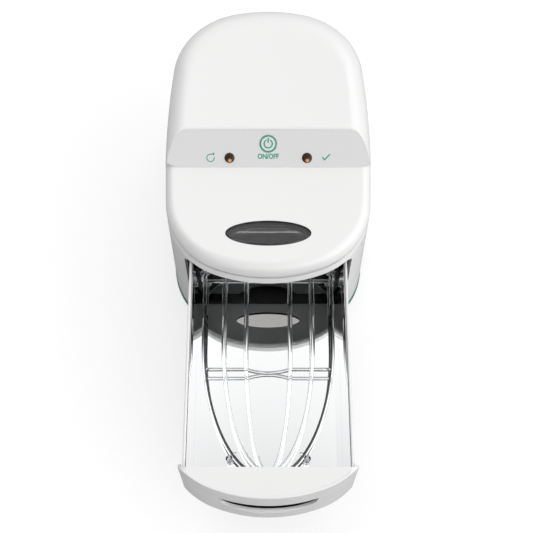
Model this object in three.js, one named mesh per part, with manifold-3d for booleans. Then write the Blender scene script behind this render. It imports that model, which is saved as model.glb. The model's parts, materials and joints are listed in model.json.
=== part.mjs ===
import * as THREE from "three";
import { mergeVertices } from "three/addons/utils/BufferGeometryUtils.js";
import Module from "manifold-3d";

const wasm = await Module();
wasm.setup();

// A table-top ultraviolet cabinet with a slide-out drawer, drawn with its drawer open.
// Lengths are millimetres. The front faces -Y, the table is z = 0, and y starts at the middle
// of the cabinet's front edge until the last lines centre the open cabinet on the origin.

// Plan of the cabinet, made of arcs that run into each other
const bodyLength = 284;
const bodyHalfWidth = 96;
const frontRadius = 140;
const frontCornerRadius = 70;
const sideRadius = 900;
const widestBehindFront = 130;
const backCornerRadius = 75;
const backRadius = 150;

// Heights of the cabinet
const deckHeight = 168;
const deckEdgeRadius = 9;
const humpRise = 20;
const humpHeight = deckHeight + humpRise;
const humpShoulderShare = 0.22;
const footSpread = 3.4;
const footHeight = 3;
const baseHeight = 3.5;
const trimHeight = 7.3;

// The sloping control band between the deck and the hump
const bandFoot = 104;
const bandRun = 30.5;
const bandCornerWidth = 11;
const bandCornerSetback = 4.5;
const bandStraightHalf = bodyHalfWidth - bandCornerWidth;
const panelThickness = 2.5;

// The mouth and the drawer that slides in it
const cheekWidth = 18.5;
const lintelHeight = 28;
const mouthHalfWidth = bodyHalfWidth - cheekWidth;
const mouthBottom = 40;
const mouthTop = deckHeight - lintelHeight;
const mouthCornerRadius = 17;
const mouthDepth = 60;
const drawerFrontDepth = 26;
const drawerSideRoom = 5;
const drawerBottomRoom = 9;
const drawerTopRoom = 5;
const drawerBackRoom = 16;
const drawerBackCornerRadius = 38;
const drawerHold = 76;
const mirrorThickness = 2;

// Walls and clearances shared by all pieces
const wall = 2.5;
const seam = 0.3;
const runningGap = 1;
const overrun = 6;

// The drawer box, closed: its back end, and the travel that leaves drawerHold of it inside
const drawerHalfWidth = mouthHalfWidth - drawerSideRoom;
const drawerBottom = mouthBottom + drawerBottomRoom;
const drawerRim = mouthTop - drawerTopRoom;
const boxFront = drawerFrontDepth + seam;
const boxEnd = bodyLength - drawerBackRoom;
const drawerTravel = boxEnd - drawerHold;
const mirrorHeight = drawerBottom + wall + seam + mirrorThickness;

const roundSides = 18;
const quarterTurn = Math.PI / 2;

const finish = {
  white: { color: 0xf2f2f0, roughness: 0.28, metalness: 0 },
  band: { color: 0xd6d7d6, roughness: 0.4, metalness: 0 },
  teal: { color: 0x14877c, roughness: 0.35, metalness: 0 },
  dark: { color: 0x3c3d3e, roughness: 0.5, metalness: 0 },
  black: { color: 0x141414, roughness: 0.5, metalness: 0 },
  smoked: { color: 0x5a5652, roughness: 0.15, metalness: 0 },
  amber: { color: 0x5a2c08, roughness: 0.15, metalness: 0 },
  clear: { color: 0xe6eaea, roughness: 0.08, metalness: 0 },
  glass: { color: 0xdfe8ee, roughness: 0.05, metalness: 0 },
  mirror: { color: 0xe8e9ea, roughness: 0.04, metalness: 1 },
  steel: { color: 0xb9bbbd, roughness: 0.3, metalness: 1 },
  rubber: { color: 0x2a2a2a, roughness: 0.85, metalness: 0 },
  board: { color: 0x1d5a34, roughness: 0.55, metalness: 0 },
};

const cabinet = new THREE.Group();
const drawer = new THREE.Group();
drawer.position.y = -drawerTravel;
cabinet.add(drawer);

function addPiece(name, shape, look, parent = cabinet) {
  const geometry = shape.isBufferGeometry ? shape : geometryOf(shape);
  const piece = new THREE.Mesh(geometry, new THREE.MeshStandardMaterial(finish[look]));
  piece.name = name;
  parent.add(piece);
  return piece;
}

// Joining and cutting

function solidOf(geometry, matrix = new THREE.Matrix4()) {
  const bare = geometry.clone().applyMatrix4(matrix);
  bare.deleteAttribute("normal");
  bare.deleteAttribute("uv");
  const merged = mergeVertices(bare, wall / 1e5);
  return new wasm.Manifold(
    new wasm.Mesh({
      numProp: 3,
      vertProperties: new Float32Array(merged.attributes.position.array),
      triVerts: new Uint32Array(merged.index.array),
    }),
  );
}

function geometryOf(solid) {
  const mesh = solid.getMesh();
  const geometry = new THREE.BufferGeometry();
  geometry.setAttribute("position", new THREE.BufferAttribute(mesh.vertProperties, 3));
  geometry.setIndex(new THREE.BufferAttribute(mesh.triVerts, 1));
  geometry.computeVertexNormals();
  return geometry;
}

function cut(solid, ...tools) {
  return tools.reduce((left, tool) => left.subtract(tool), solid);
}

function join(first, ...others) {
  return others.reduce((sum, other) => sum.add(other), first);
}

// Basic forms. A box is given by its two ends along each axis.

function boxGeometry([x0, x1], [y0, y1], [z0, z1]) {
  const box = new THREE.BoxGeometry(x1 - x0, y1 - y0, z1 - z0);
  return box.translate((x0 + x1) / 2, (y0 + y1) / 2, (z0 + z1) / 2);
}

function boxSolid(xs, ys, zs, matrix) {
  return solidOf(boxGeometry(xs, ys, zs), matrix);
}

function plateGeometry(shape, [z0, z1]) {
  const options = { depth: z1 - z0, bevelEnabled: false, curveSegments: roundSides };
  return new THREE.ExtrudeGeometry(shape, options).translate(0, 0, z0);
}

function plateSolid(shape, zs, matrix) {
  return solidOf(plateGeometry(shape, zs), matrix);
}

function discSolid(x, y, radius, zs, matrix) {
  return plateSolid(ovalShape(x, y, radius, radius, roundSides), zs, matrix);
}

function ovalShape(x, y, halfWidth, halfDepth, sides = 2 * roundSides) {
  const shape = new THREE.Shape();
  for (let i = 0; i < sides; i += 1) {
    const turn = (i / sides) * 2 * Math.PI;
    const px = x + halfWidth * Math.cos(turn);
    const py = y + halfDepth * Math.sin(turn);
    if (i === 0) shape.moveTo(px, py);
    else shape.lineTo(px, py);
  }
  return shape;
}

// A turned piece on the z axis through a point, from a profile of [radius, height] pairs.
function turnedGeometry(profile, x, y, sides = roundSides) {
  const points = profile.map(([radius, height]) => new THREE.Vector2(radius, height));
  const turned = new THREE.LatheGeometry(points, sides);
  return turned.rotateX(quarterTurn).translate(x, y, 0);
}

// A bar of round section along a curve.
function barGeometry(curve, radius, steps, sides) {
  const section = new THREE.Shape();
  for (let i = 0; i < sides; i += 1) {
    const turn = (i / sides) * 2 * Math.PI;
    const point = [radius * Math.cos(turn), radius * Math.sin(turn)];
    if (i === 0) section.moveTo(...point);
    else section.lineTo(...point);
  }
  return new THREE.ExtrudeGeometry(section, { steps, extrudePath: curve });
}

// Plan outline of the cabinet

const deckEdge = deckHeight - deckEdgeRadius;
const frontArc = { x: 0, y: frontRadius, radius: frontRadius };
const backArc = { x: 0, y: bodyLength - backRadius, radius: backRadius };
const sideArc = { x: bodyHalfWidth - sideRadius, y: widestBehindFront, radius: sideRadius };

// The arc of a given radius that runs into an end arc and the side arc.
function cornerArc(end, side, radius, towardBack) {
  const endReach = end.radius - radius;
  const sideReach = side.radius - radius;
  const dx = side.x - end.x;
  const dy = side.y - end.y;
  const apart = Math.hypot(dx, dy);
  const along = (endReach ** 2 - sideReach ** 2 + apart ** 2) / (2 * apart);
  const across = Math.sqrt(Math.max(0, endReach ** 2 - along ** 2)) * (towardBack ? -1 : 1);
  return {
    x: end.x + (along * dx - across * dy) / apart,
    y: end.y + (along * dy + across * dx) / apart,
    radius,
  };
}

const frontCorner = cornerArc(frontArc, sideArc, frontCornerRadius, false);
const backCorner = cornerArc(backArc, sideArc, backCornerRadius, true);

function heading(from, to) {
  return Math.atan2(to.y - from.y, to.x - from.x);
}

const turns = [
  -quarterTurn,
  heading(frontArc, frontCorner),
  heading(sideArc, frontCorner),
  heading(sideArc, backCorner),
  heading(backArc, backCorner),
  quarterTurn,
];
const outlineArcs = [
  { arc: frontArc, steps: 4 },
  { arc: frontCorner, steps: 8 },
  { arc: sideArc, steps: 4 },
  { arc: backCorner, steps: 8 },
  { arc: backArc, steps: 4 },
];

// The outline moved outwards by grow, as points from the front round the right side.
function outline(grow) {
  const right = [];
  outlineArcs.forEach(({ arc, steps }, index) => {
    for (let i = 0; i < steps; i += 1) {
      const turn = THREE.MathUtils.lerp(turns[index], turns[index + 1], i / steps);
      const reach = arc.radius + grow;
      right.push(new THREE.Vector2(arc.x + reach * Math.cos(turn), arc.y + reach * Math.sin(turn)));
    }
  });
  right.push(new THREE.Vector2(0, bodyLength + grow));
  const left = right.slice(1, -1).reverse().map((point) => new THREE.Vector2(-point.x, point.y));
  return right.concat(left);
}

// How far the leaning wall stands outside the deck's outline at a height.
function lean(height) {
  return (footSpread * (deckEdge - height)) / deckEdge;
}

function ring(points, height) {
  return points.map((point) => new THREE.Vector3(point.x, point.y, height));
}

// A closed skin over rings of equal count, with a fan on each end.
function loftGeometry(rings) {
  const count = rings[0].length;
  const middles = [rings[0], rings.at(-1)].map((points) =>
    points.reduce((sum, point) => sum.add(point), new THREE.Vector3()).divideScalar(count),
  );
  const vertices = rings.flat().concat(middles);
  const last = (rings.length - 1) * count;
  const faces = [];
  for (let i = 0; i < count; i += 1) {
    const next = (i + 1) % count;
    for (let base = 0; base < last; base += count) {
      faces.push(base + i, base + next, base + count + next);
      faces.push(base + i, base + count + next, base + count + i);
    }
    faces.push(vertices.length - 2, next, i);
    faces.push(vertices.length - 1, last + i, last + next);
  }
  const geometry = new THREE.BufferGeometry().setFromPoints(vertices);
  geometry.setIndex(faces);
  return geometry;
}

function outlineSolid(grow, [z0, z1]) {
  return solidOf(loftGeometry([ring(outline(grow), z0), ring(outline(grow), z1)]));
}

function leaningSolid(inset, [z0, z1]) {
  const rings = [z0, z1].map((height) => ring(outline(lean(height) - inset), height));
  return solidOf(loftGeometry(rings));
}

// The band's own frame: x across, y up the slope, z out of the panel's face
const bandTilt = Math.atan2(humpHeight - deckHeight, bandRun);
const bandLength = Math.hypot(humpHeight - deckHeight, bandRun);
const band = new THREE.Group();
band.position.set(0, bandFoot, deckHeight);
band.rotation.x = bandTilt;
band.updateMatrix();
cabinet.add(band);

const roundSteps = 5;

function humpSolid(inset) {
  const rise = humpHeight - inset - deckEdge;
  const rings = [ring(outline(-inset - wall / 2), deckEdge - deckEdgeRadius)];
  for (let i = 0; i <= roundSteps; i += 1) {
    const turn = (i / roundSteps) * quarterTurn;
    const size = 1 - humpShoulderShare * (1 - Math.cos(turn));
    const points = outline(-inset).map(
      (point) => new THREE.Vector2(point.x * size, bandFoot + (point.y - bandFoot) * size),
    );
    rings.push(ring(points, deckEdge + rise * Math.sin(turn)));
  }
  return solidOf(loftGeometry(rings)).subtract(bandFrontSolid());
}

// All that lies before the band's lower edge, whose two ends turn back over the deck's round edge.
function bandFrontSolid() {
  const reach = bodyHalfWidth + overrun;
  const ends = bandFoot + (bandCornerSetback * (reach - bandStraightHalf)) / bandCornerWidth;
  const plan = new THREE.Shape();
  plan.moveTo(-reach, -reach);
  plan.lineTo(reach, -reach);
  plan.lineTo(reach, ends);
  plan.lineTo(bandStraightHalf, bandFoot);
  plan.lineTo(-bandStraightHalf, bandFoot);
  plan.lineTo(-reach, ends);
  return plateSolid(plan, [0, 2 * humpHeight]);
}

// The slab that lies between two depths behind the band's face.
function bandSlab(near, far) {
  const reach = 2 * bodyLength;
  return boxSolid([-reach, reach], [-reach, reach], [-far, -near], band.matrix);
}

// The body's outer form moved inwards by inset, cut back behind the band by bandDepth.
function bodySolid(inset, bottom, bandDepth) {
  const edge = deckEdgeRadius - inset;
  const rings = [ring(outline(lean(bottom) - inset), bottom)];
  for (let i = 0; i <= roundSteps; i += 1) {
    const turn = (i / roundSteps) * quarterTurn;
    const points = outline(-inset - edge * (1 - Math.cos(turn)));
    rings.push(ring(points, deckEdge + edge * Math.sin(turn)));
  }
  const deck = solidOf(loftGeometry(rings));
  return deck.add(humpSolid(inset).intersect(bandSlab(bandDepth, 2 * bodyLength)));
}

// Base, trim and feet

const baseTop = footHeight + baseHeight;
const trimBottom = baseTop + seam;
const trimTop = trimBottom + trimHeight;
const housingBottom = trimTop + seam;
const bayFloorTop = mouthBottom - 2 * seam;
const bayFloorBottom = bayFloorTop - wall;

const baseTuck = 4;
const trimWidth = 6.5;
const rib = { height: 12.5, width: 2 };
const column = { radius: 4.6, boreRadius: 2.2, fromSide: 33, fromFront: 52, fromBack: 66 };
const screw = { shankRadius: 1.7, headRadius: 3.6, headHeight: 2.2 };
const foot = { radius: 8, sink: 1.2, fromSide: 36, fromFront: 32, fromBack: 34 };

// The four places of a set of corner pieces, each with its name.
function cornerSpots({ fromSide, fromFront, fromBack }) {
  return [-1, 1].flatMap((side) => {
    const x = side * (bodyHalfWidth - fromSide);
    return [
      { name: side < 0 ? "front_left" : "front_right", x, y: fromFront },
      { name: side < 0 ? "back_left" : "back_right", x, y: bodyLength - fromBack },
    ];
  });
}

const columnSpots = cornerSpots(column);
const footSpots = cornerSpots(foot);

function makeBase() {
  const pan = solidOf(
    loftGeometry([
      ring(outline(lean(baseTop) - baseTuck), footHeight),
      ring(outline(lean(baseTop) - seam), baseTop),
    ]),
  );
  const hollow = leaningSolid(baseTuck + 2 * wall, [footHeight + wall, baseTop + overrun]);
  const ribInset = trimWidth + seam;
  const ribOuter = leaningSolid(ribInset, [baseTop - wall, baseTop + rib.height]);
  const ribInner = leaningSolid(ribInset + rib.width, [footHeight + wall, baseTop + rib.height + overrun]);
  let base = join(pan, ribOuter).subtract(hollow).subtract(ribInner);
  for (const { x, y } of columnSpots) {
    base = base.add(discSolid(x, y, column.radius, [footHeight, bayFloorBottom - seam]));
  }
  for (const { x, y } of columnSpots) {
    const bore = discSolid(x, y, column.boreRadius, [0, bayFloorBottom + overrun]);
    const sink = discSolid(x, y, screw.headRadius + seam, [0, footHeight + screw.headHeight + seam]);
    base = cut(base, bore, sink);
  }
  for (const { x, y } of footSpots) {
    const recess = discSolid(x, y, foot.radius + seam, [0, footHeight + foot.sink]);
    base = cut(base, recess);
  }
  addPiece("base_plate", base, "white");
}

function makeFeet() {
  for (const { name, x, y } of footSpots) {
    const top = footHeight + foot.sink - seam;
    const profile = [
      [0, 0],
      [foot.radius - foot.sink, 0],
      [foot.radius, foot.sink],
      [foot.radius, top],
      [0, top],
    ];
    addPiece("foot_" + name, turnedGeometry(profile, x, y), "rubber");
  }
}

function makeBaseScrews() {
  for (const { name, x, y } of columnSpots) {
    const top = bayFloorBottom - 2 * seam;
    const headTop = footHeight + screw.headHeight;
    const profile = [
      [0, footHeight],
      [screw.headRadius, footHeight],
      [screw.headRadius, headTop],
      [screw.shankRadius, headTop],
      [screw.shankRadius, top],
      [0, top],
    ];
    addPiece("base_screw_" + name, turnedGeometry(profile, x, y, roundSides / 2), "steel");
  }
}

function makeTrim() {
  const outer = leaningSolid(-seam, [trimBottom, trimTop]);
  const inner = leaningSolid(trimWidth, [trimBottom - overrun, trimTop + overrun]);
  addPiece("trim_ring", cut(outer, inner), "teal");
}

// Upper housing with its mouth, window hole, band opening and inlet hole

const windowOval = { halfWidth: 37.4, halfDepth: 11.3, behindFront: 36.8 };
const gasket = { width: 1, flange: 3, flangeThickness: 1.4, ledge: 2 };
const bandOpening = { fromSide: 34, margin: 3.8 };
const openingHalfWidth = bodyHalfWidth - bandOpening.fromSide;
const inlet = { halfWidth: 11, halfHeight: 7, belowBay: 10.9, depth: 24, proud: 0.6, flange: 2 };
const inletHeight = bayFloorBottom - inlet.belowBay;

function mouthShape(inset) {
  const half = mouthHalfWidth - inset;
  const bottom = mouthBottom + inset;
  const top = mouthTop - inset;
  const radius = mouthCornerRadius - inset;
  const shape = new THREE.Shape();
  shape.moveTo(-half, top);
  shape.lineTo(-half, bottom + radius);
  shape.absarc(-half + radius, bottom + radius, radius, Math.PI, 1.5 * Math.PI);
  shape.lineTo(half - radius, bottom);
  shape.absarc(half - radius, bottom + radius, radius, 1.5 * Math.PI, 2 * Math.PI);
  shape.lineTo(half, top);
  return shape;
}

// A shape drawn in x and z, extruded from y0 to y1.
function acrossSolid(shape, [y0, y1], segments = 6) {
  const options = { depth: y1 - y0, bevelEnabled: false, curveSegments: segments };
  const geometry = new THREE.ExtrudeGeometry(shape, options);
  return solidOf(geometry.rotateX(quarterTurn).translate(0, y1, 0));
}

function makeHousing() {
  const bandDepth = panelThickness + seam;
  const outer = bodySolid(0, housingBottom, bandDepth);
  const inner = bodySolid(wall, housingBottom - overrun, bandDepth + wall);
  const mouth = acrossSolid(mouthShape(0), [-bodyLength, mouthDepth]);
  const { halfWidth, halfDepth, behindFront } = windowOval;
  const rim = gasket.width + 2 * seam;
  const window = plateSolid(
    ovalShape(0, behindFront, halfWidth + rim, halfDepth + rim),
    [deckHeight - wall - overrun, deckHeight + overrun],
  );
  const opening = boxSolid(
    [-openingHalfWidth, openingHalfWidth],
    [bandOpening.margin, bandLength - bandOpening.margin],
    [-bandDepth - wall - overrun, seam],
    band.matrix,
  );
  const inletHole = boxSolid(
    [-inlet.halfWidth - seam, inlet.halfWidth + seam],
    [bodyLength - inlet.depth, bodyLength + overrun],
    [inletHeight - inlet.halfHeight - seam, inletHeight + inlet.halfHeight + seam],
  );
  addPiece("upper_housing", cut(outer, inner, mouth, window, opening, inletHole), "white");
}

// Window in the deck

function makeWindow() {
  const { halfWidth, halfDepth, behindFront } = windowOval;
  const oval = (grow) => ovalShape(0, behindFront, halfWidth + grow, halfDepth + grow);
  const flangeTop = deckHeight - wall - seam;
  const flangeBottom = flangeTop - gasket.flangeThickness;
  const neck = plateSolid(oval(gasket.width + seam), [flangeBottom, deckHeight]);
  const flange = plateSolid(oval(gasket.width + gasket.flange), [flangeBottom, flangeTop]);
  const seat = plateSolid(oval(seam), [flangeTop, deckHeight + overrun]);
  const through = plateSolid(oval(-gasket.ledge), [flangeBottom - overrun, deckHeight + overrun]);
  addPiece("window_gasket", cut(join(neck, flange), seat, through), "black");
  addPiece("window_lens", plateGeometry(oval(0), [flangeTop + seam, deckHeight]), "smoked");
}

// Control band: panel, button, lamps, board

const button = {
  radius: 7.9,
  upSlope: 21.8,
  flange: 1.3,
  flangeThickness: 1.3,
  stemRadius: 2.2,
  travel: 0.8,
};
const ledLens = { radius: 4.6, upSlope: 8.9, fromSide: 26.3, rise: 1.6 };
const ledAside = openingHalfWidth - ledLens.fromSide;
const boardPlate = { sideMargin: 3, lowMargin: 7, highMargin: 6.5, thickness: 1.6, standoff: 6.5 };
const boardHalfWidth = openingHalfWidth - boardPlate.sideMargin;
const boardEnds = [boardPlate.lowMargin, bandLength - boardPlate.highMargin];
const peg = { radius: 2.3, sideMargin: 7, endMargin: 3.2 };
const boardFace = -(panelThickness + boardPlate.standoff + seam);
const tactSwitch = { halfWidth: 3.1, plungerRadius: 1.7, plungerHeight: 0.7 };

function makePanel() {
  const aboveDeck = outlineSolid(overrun, [deckHeight + seam, humpHeight + overrun]);
  let panel = humpSolid(0).intersect(bandSlab(0, panelThickness)).intersect(aboveDeck);
  const through = [-panelThickness - overrun, overrun];
  panel = panel.subtract(discSolid(0, button.upSlope, button.radius + seam, through, band.matrix));
  for (const side of [-1, 1]) {
    const x = side * ledAside;
    panel = panel.subtract(discSolid(x, ledLens.upSlope, ledLens.radius + seam, through, band.matrix));
    for (const y of [boardEnds[0] + peg.endMargin, boardEnds[1] - peg.endMargin]) {
      const pegX = side * (boardHalfWidth - peg.sideMargin);
      const ends = [boardFace + seam, -panelThickness / 2];
      panel = panel.add(discSolid(pegX, y, peg.radius, ends, band.matrix));
    }
  }
  addPiece("control_panel", panel, "band");
}

function makeButton() {
  const flangeTop = -panelThickness - seam;
  const flangeBottom = flangeTop - button.flangeThickness;
  const switchTop = boardFace + tactSwitch.halfWidth + tactSwitch.plungerHeight;
  const stemEnd = switchTop + button.travel + seam / 2;
  const profile = [
    [0, stemEnd],
    [button.stemRadius, stemEnd],
    [button.stemRadius, flangeBottom],
    [button.radius + button.flange, flangeBottom],
    [button.radius + button.flange, flangeTop],
    [button.radius, flangeTop],
    [button.radius, 0],
    [0, 0],
  ];
  addPiece("power_button", turnedGeometry(profile, 0, button.upSlope), "band", band);

  const base = boardFace + seam;
  const half = tactSwitch.halfWidth;
  const { plungerRadius } = tactSwitch;
  const bodyEnds = [button.upSlope - half, button.upSlope + half];
  const body = boxSolid([-half, half], bodyEnds, [base, boardFace + half]);
  const plunger = discSolid(0, button.upSlope, plungerRadius, [base, switchTop]);
  addPiece("button_switch", body.add(plunger), "black", band);
}

function makeLedLenses() {
  for (const side of [-1, 1]) {
    const base = boardFace + seam;
    const domeSteps = 5;
    const profile = [
      [0, base],
      [ledLens.radius, base],
    ];
    for (let i = 0; i <= domeSteps; i += 1) {
      const turn = (i / domeSteps) * quarterTurn;
      const radius = i < domeSteps ? ledLens.radius * Math.cos(turn) : 0;
      profile.push([radius, ledLens.rise * Math.sin(turn)]);
    }
    const name = side < 0 ? "cycle_light" : "ready_light";
    addPiece(name, turnedGeometry(profile, side * ledAside, ledLens.upSlope), "amber", band);
  }
}

function makeControlBoard() {
  const zs = [boardFace - boardPlate.thickness, boardFace];
  const board = boxGeometry([-boardHalfWidth, boardHalfWidth], boardEnds, zs);
  addPiece("control_board", board, "board", band);
}

// Ceiling of the chamber, with the lamp under it and the ballast on it

const ceiling = { belowDeck: 10.4, thickness: 1.8 };
const ceilingBottom = deckHeight - ceiling.belowDeck;
const baffle = { front: 55, depth: 12, sideRoom: 7.5, drop: 9, ovalHalfWidth: 34, ovalDepth: 15 };
const baffleHalfWidth = mouthHalfWidth - baffle.sideRoom;
const lamp = { radius: 6, legAside: 13, front: 100, fromBack: 48, drop: 9.6, steps: 24, sides: 8 };
const lampBack = bodyLength - lamp.fromBack;
const socket = { halfWidth: 24, depth: 14, height: 15 };
const clip = { behindFront: 122, depth: 5, halfWidth: 23, wallThickness: 1.2 };
const reflector = { halfWidth: 52, front: 84, fromBack: 52, thickness: 1, flare: 8, drop: 6 };
const ballast = { halfWidth: 42, behindBand: 15.5, depth: 62, height: 17 };

function makeCeiling() {
  const top = ceilingBottom + ceiling.thickness;
  const plate = outlineSolid(-wall - seam, [ceilingBottom, top]);
  const { halfWidth, halfDepth, behindFront } = windowOval;
  const inset = gasket.ledge;
  const hole = plateSolid(
    ovalShape(0, behindFront, halfWidth - inset, halfDepth - inset),
    [ceilingBottom - overrun, top + overrun],
  );
  addPiece("ceiling_panel", plate.subtract(hole), "dark");
}

function makeBaffle() {
  const top = ceilingBottom - seam;
  const bar = boxSolid(
    [-baffleHalfWidth, baffleHalfWidth],
    [baffle.front, baffle.front + baffle.depth],
    [top - baffle.drop, top],
  );
  const middle = baffle.front + baffle.depth / 2;
  const bulge = plateSolid(
    ovalShape(0, middle, baffle.ovalHalfWidth, baffle.ovalDepth),
    [top - baffle.drop, top],
  );
  const front = boxSolid(
    [-bodyHalfWidth, bodyHalfWidth],
    [baffle.front - 2 * baffle.ovalDepth, baffle.front],
    [top - baffle.drop - overrun, top + overrun],
  );
  addPiece("lamp_baffle", join(bar, bulge).subtract(front), "black");
}

// The lamp's centre line: back along one leg, round the bend and forward along the other.
class LampCurve extends THREE.Curve {
  getPoint(t, target = new THREE.Vector3()) {
    const leg = lampBack - lamp.front;
    const bend = Math.PI * lamp.legAside;
    const height = ceilingBottom - lamp.drop;
    const gone = t * (2 * leg + bend);
    if (gone < leg) return target.set(-lamp.legAside, lampBack - gone, height);
    if (gone > leg + bend) return target.set(lamp.legAside, lamp.front + gone - leg - bend, height);
    const turn = (gone - leg) / lamp.legAside;
    return target.set(
      -lamp.legAside * Math.cos(turn),
      lamp.front - lamp.legAside * Math.sin(turn),
      height,
    );
  }
}

function makeLamp() {
  addPiece("uv_lamp", barGeometry(new LampCurve(), lamp.radius, lamp.steps, lamp.sides), "glass");

  const top = ceilingBottom - seam;
  const socketFront = lampBack + seam;
  addPiece(
    "lamp_socket",
    boxGeometry(
      [-socket.halfWidth, socket.halfWidth],
      [socketFront, socketFront + socket.depth],
      [top - socket.height, top],
    ),
    "white",
  );

  const reflectorTop = top;
  const profile = new THREE.Shape();
  const { halfWidth, flare, drop, thickness } = reflector;
  profile.moveTo(-halfWidth, reflectorTop);
  profile.lineTo(-halfWidth - flare, reflectorTop - drop);
  profile.lineTo(-halfWidth - flare + thickness, reflectorTop - drop);
  profile.lineTo(-halfWidth + thickness, reflectorTop - thickness);
  profile.lineTo(halfWidth - thickness, reflectorTop - thickness);
  profile.lineTo(halfWidth + flare - thickness, reflectorTop - drop);
  profile.lineTo(halfWidth + flare, reflectorTop - drop);
  profile.lineTo(halfWidth, reflectorTop);
  const reflectorEnds = [reflector.front, bodyLength - reflector.fromBack];
  addPiece("lamp_reflector", acrossSolid(profile, reflectorEnds), "steel");

  const height = ceilingBottom - lamp.drop;
  const clipTop = reflectorTop - thickness - seam;
  const clipBottom = height - lamp.radius / 2;
  const ys = [clip.behindFront, clip.behindFront + clip.depth];
  let holder = boxSolid([-clip.halfWidth, clip.halfWidth], ys, [clipBottom, clipTop]);
  const mouthHalf = lamp.radius - clip.wallThickness;
  const through = [ys[0] - overrun, ys[1] + overrun];
  for (const side of [-1, 1]) {
    const x = side * lamp.legAside;
    const bore = new THREE.Shape();
    bore.absarc(x, height, lamp.radius + seam, 0, 2 * Math.PI);
    const mouth = boxSolid([x - mouthHalf, x + mouthHalf], through, [clipBottom - overrun, height]);
    holder = cut(holder, acrossSolid(bore, through, roundSides / 2), mouth);
  }
  addPiece("lamp_clip", holder, "white");
}

function makeBallast() {
  const bottom = ceilingBottom + ceiling.thickness + seam;
  const front = bandFoot + bandRun + ballast.behindBand;
  addPiece(
    "lamp_ballast",
    boxGeometry(
      [-ballast.halfWidth, ballast.halfWidth],
      [front, front + ballast.depth],
      [bottom, bottom + ballast.height],
    ),
    "steel",
  );
}

// Drawer bay with its rails, stop and safety switch

const rail = {
  fromSide: 22.5,
  fromBack: 22,
  base: 1.8,
  halfWidth: 6.1,
  lipHalfGap: 2,
  lip: 1.9,
  wallThickness: 2.1,
};
const railAside = drawerHalfWidth - rail.fromSide;
const runner = { front: 10, back: 70, footHalfWidth: 3.4, footHeight: 2.4, stemHalfWidth: 1.2 };
const slideGap = 0.6;
const stop = { halfWidth: 9, depth: 7, tabDepth: 4, tabHalfWidth: 12, tabDrop: 4 };
const safetySwitch = { halfWidth: 8, depth: 5, height: 24, nub: 6.4, nubHalfWidth: 2 };
const bayInset = wall + 2 * seam;
const bayWall = 2;
const bayWallFront = 39;

function makeBay() {
  const bayTop = ceilingBottom - seam;
  const outerHalf = mouthHalfWidth + bayWall;
  const outer = leaningSolid(bayInset, [bayFloorBottom, bayTop]).intersect(
    boxSolid([-outerHalf, outerHalf], [-overrun, bodyLength], [0, bayTop]),
  );
  const zs = [bayFloorTop, bayTop + overrun];
  const inside = leaningSolid(bayInset + bayWall, zs).intersect(
    boxSolid([-mouthHalfWidth, mouthHalfWidth], [-overrun, bodyLength], zs),
  );
  const openFront = boxSolid([-bodyHalfWidth, bodyHalfWidth], [-overrun, bayWallFront], zs);
  addPiece("drawer_bay", cut(outer, inside, openFront), "white");
}

function makeRails() {
  const base = bayFloorTop + seam;
  const slot = base + rail.base;
  const lipBottom = slot + runner.footHeight + 2 * slideGap;
  const top = lipBottom + rail.lip;
  for (const side of [-1, 1]) {
    const x = side * railAside;
    const profile = new THREE.Shape();
    profile.moveTo(x - rail.halfWidth, base);
    profile.lineTo(x + rail.halfWidth, base);
    profile.lineTo(x + rail.halfWidth, top);
    profile.lineTo(x + rail.lipHalfGap, top);
    profile.lineTo(x + rail.lipHalfGap, lipBottom);
    profile.lineTo(x + rail.halfWidth - rail.wallThickness, lipBottom);
    profile.lineTo(x + rail.halfWidth - rail.wallThickness, slot);
    profile.lineTo(x - rail.halfWidth + rail.wallThickness, slot);
    profile.lineTo(x - rail.halfWidth + rail.wallThickness, lipBottom);
    profile.lineTo(x - rail.lipHalfGap, lipBottom);
    profile.lineTo(x - rail.lipHalfGap, top);
    profile.lineTo(x - rail.halfWidth, top);
    const name = side < 0 ? "rail_left" : "rail_right";
    const ys = [drawerFrontDepth + runningGap, bodyLength - rail.fromBack];
    addPiece(name, acrossSolid(profile, ys), "steel");
  }
}

function makeRunners() {
  const footBottom = bayFloorTop + seam + rail.base + slideGap;
  const footTop = footBottom + runner.footHeight;
  const top = drawerBottom - seam;
  for (const side of [-1, 1]) {
    const x = side * railAside;
    const profile = new THREE.Shape();
    profile.moveTo(x - runner.footHalfWidth, footBottom);
    profile.lineTo(x + runner.footHalfWidth, footBottom);
    profile.lineTo(x + runner.footHalfWidth, footTop);
    profile.lineTo(x + runner.stemHalfWidth, footTop);
    profile.lineTo(x + runner.stemHalfWidth, top);
    profile.lineTo(x - runner.stemHalfWidth, top);
    profile.lineTo(x - runner.stemHalfWidth, footTop);
    profile.lineTo(x - runner.footHalfWidth, footTop);
    const ys = [drawerFrontDepth + runner.front, drawerTravel + runner.back];
    const name = side < 0 ? "runner_left" : "runner_right";
    addPiece(name, acrossSolid(profile, ys), "white", drawer);
  }
}

function makeStop() {
  const base = bayFloorTop + seam;
  const top = drawerBottom - 2 * runningGap;
  const back = drawerHold - stop.tabDepth - wall - seam;
  const block = boxGeometry([-stop.halfWidth, stop.halfWidth], [back - stop.depth, back], [base, top]);
  addPiece("drawer_stop", block, "black");
}

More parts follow.
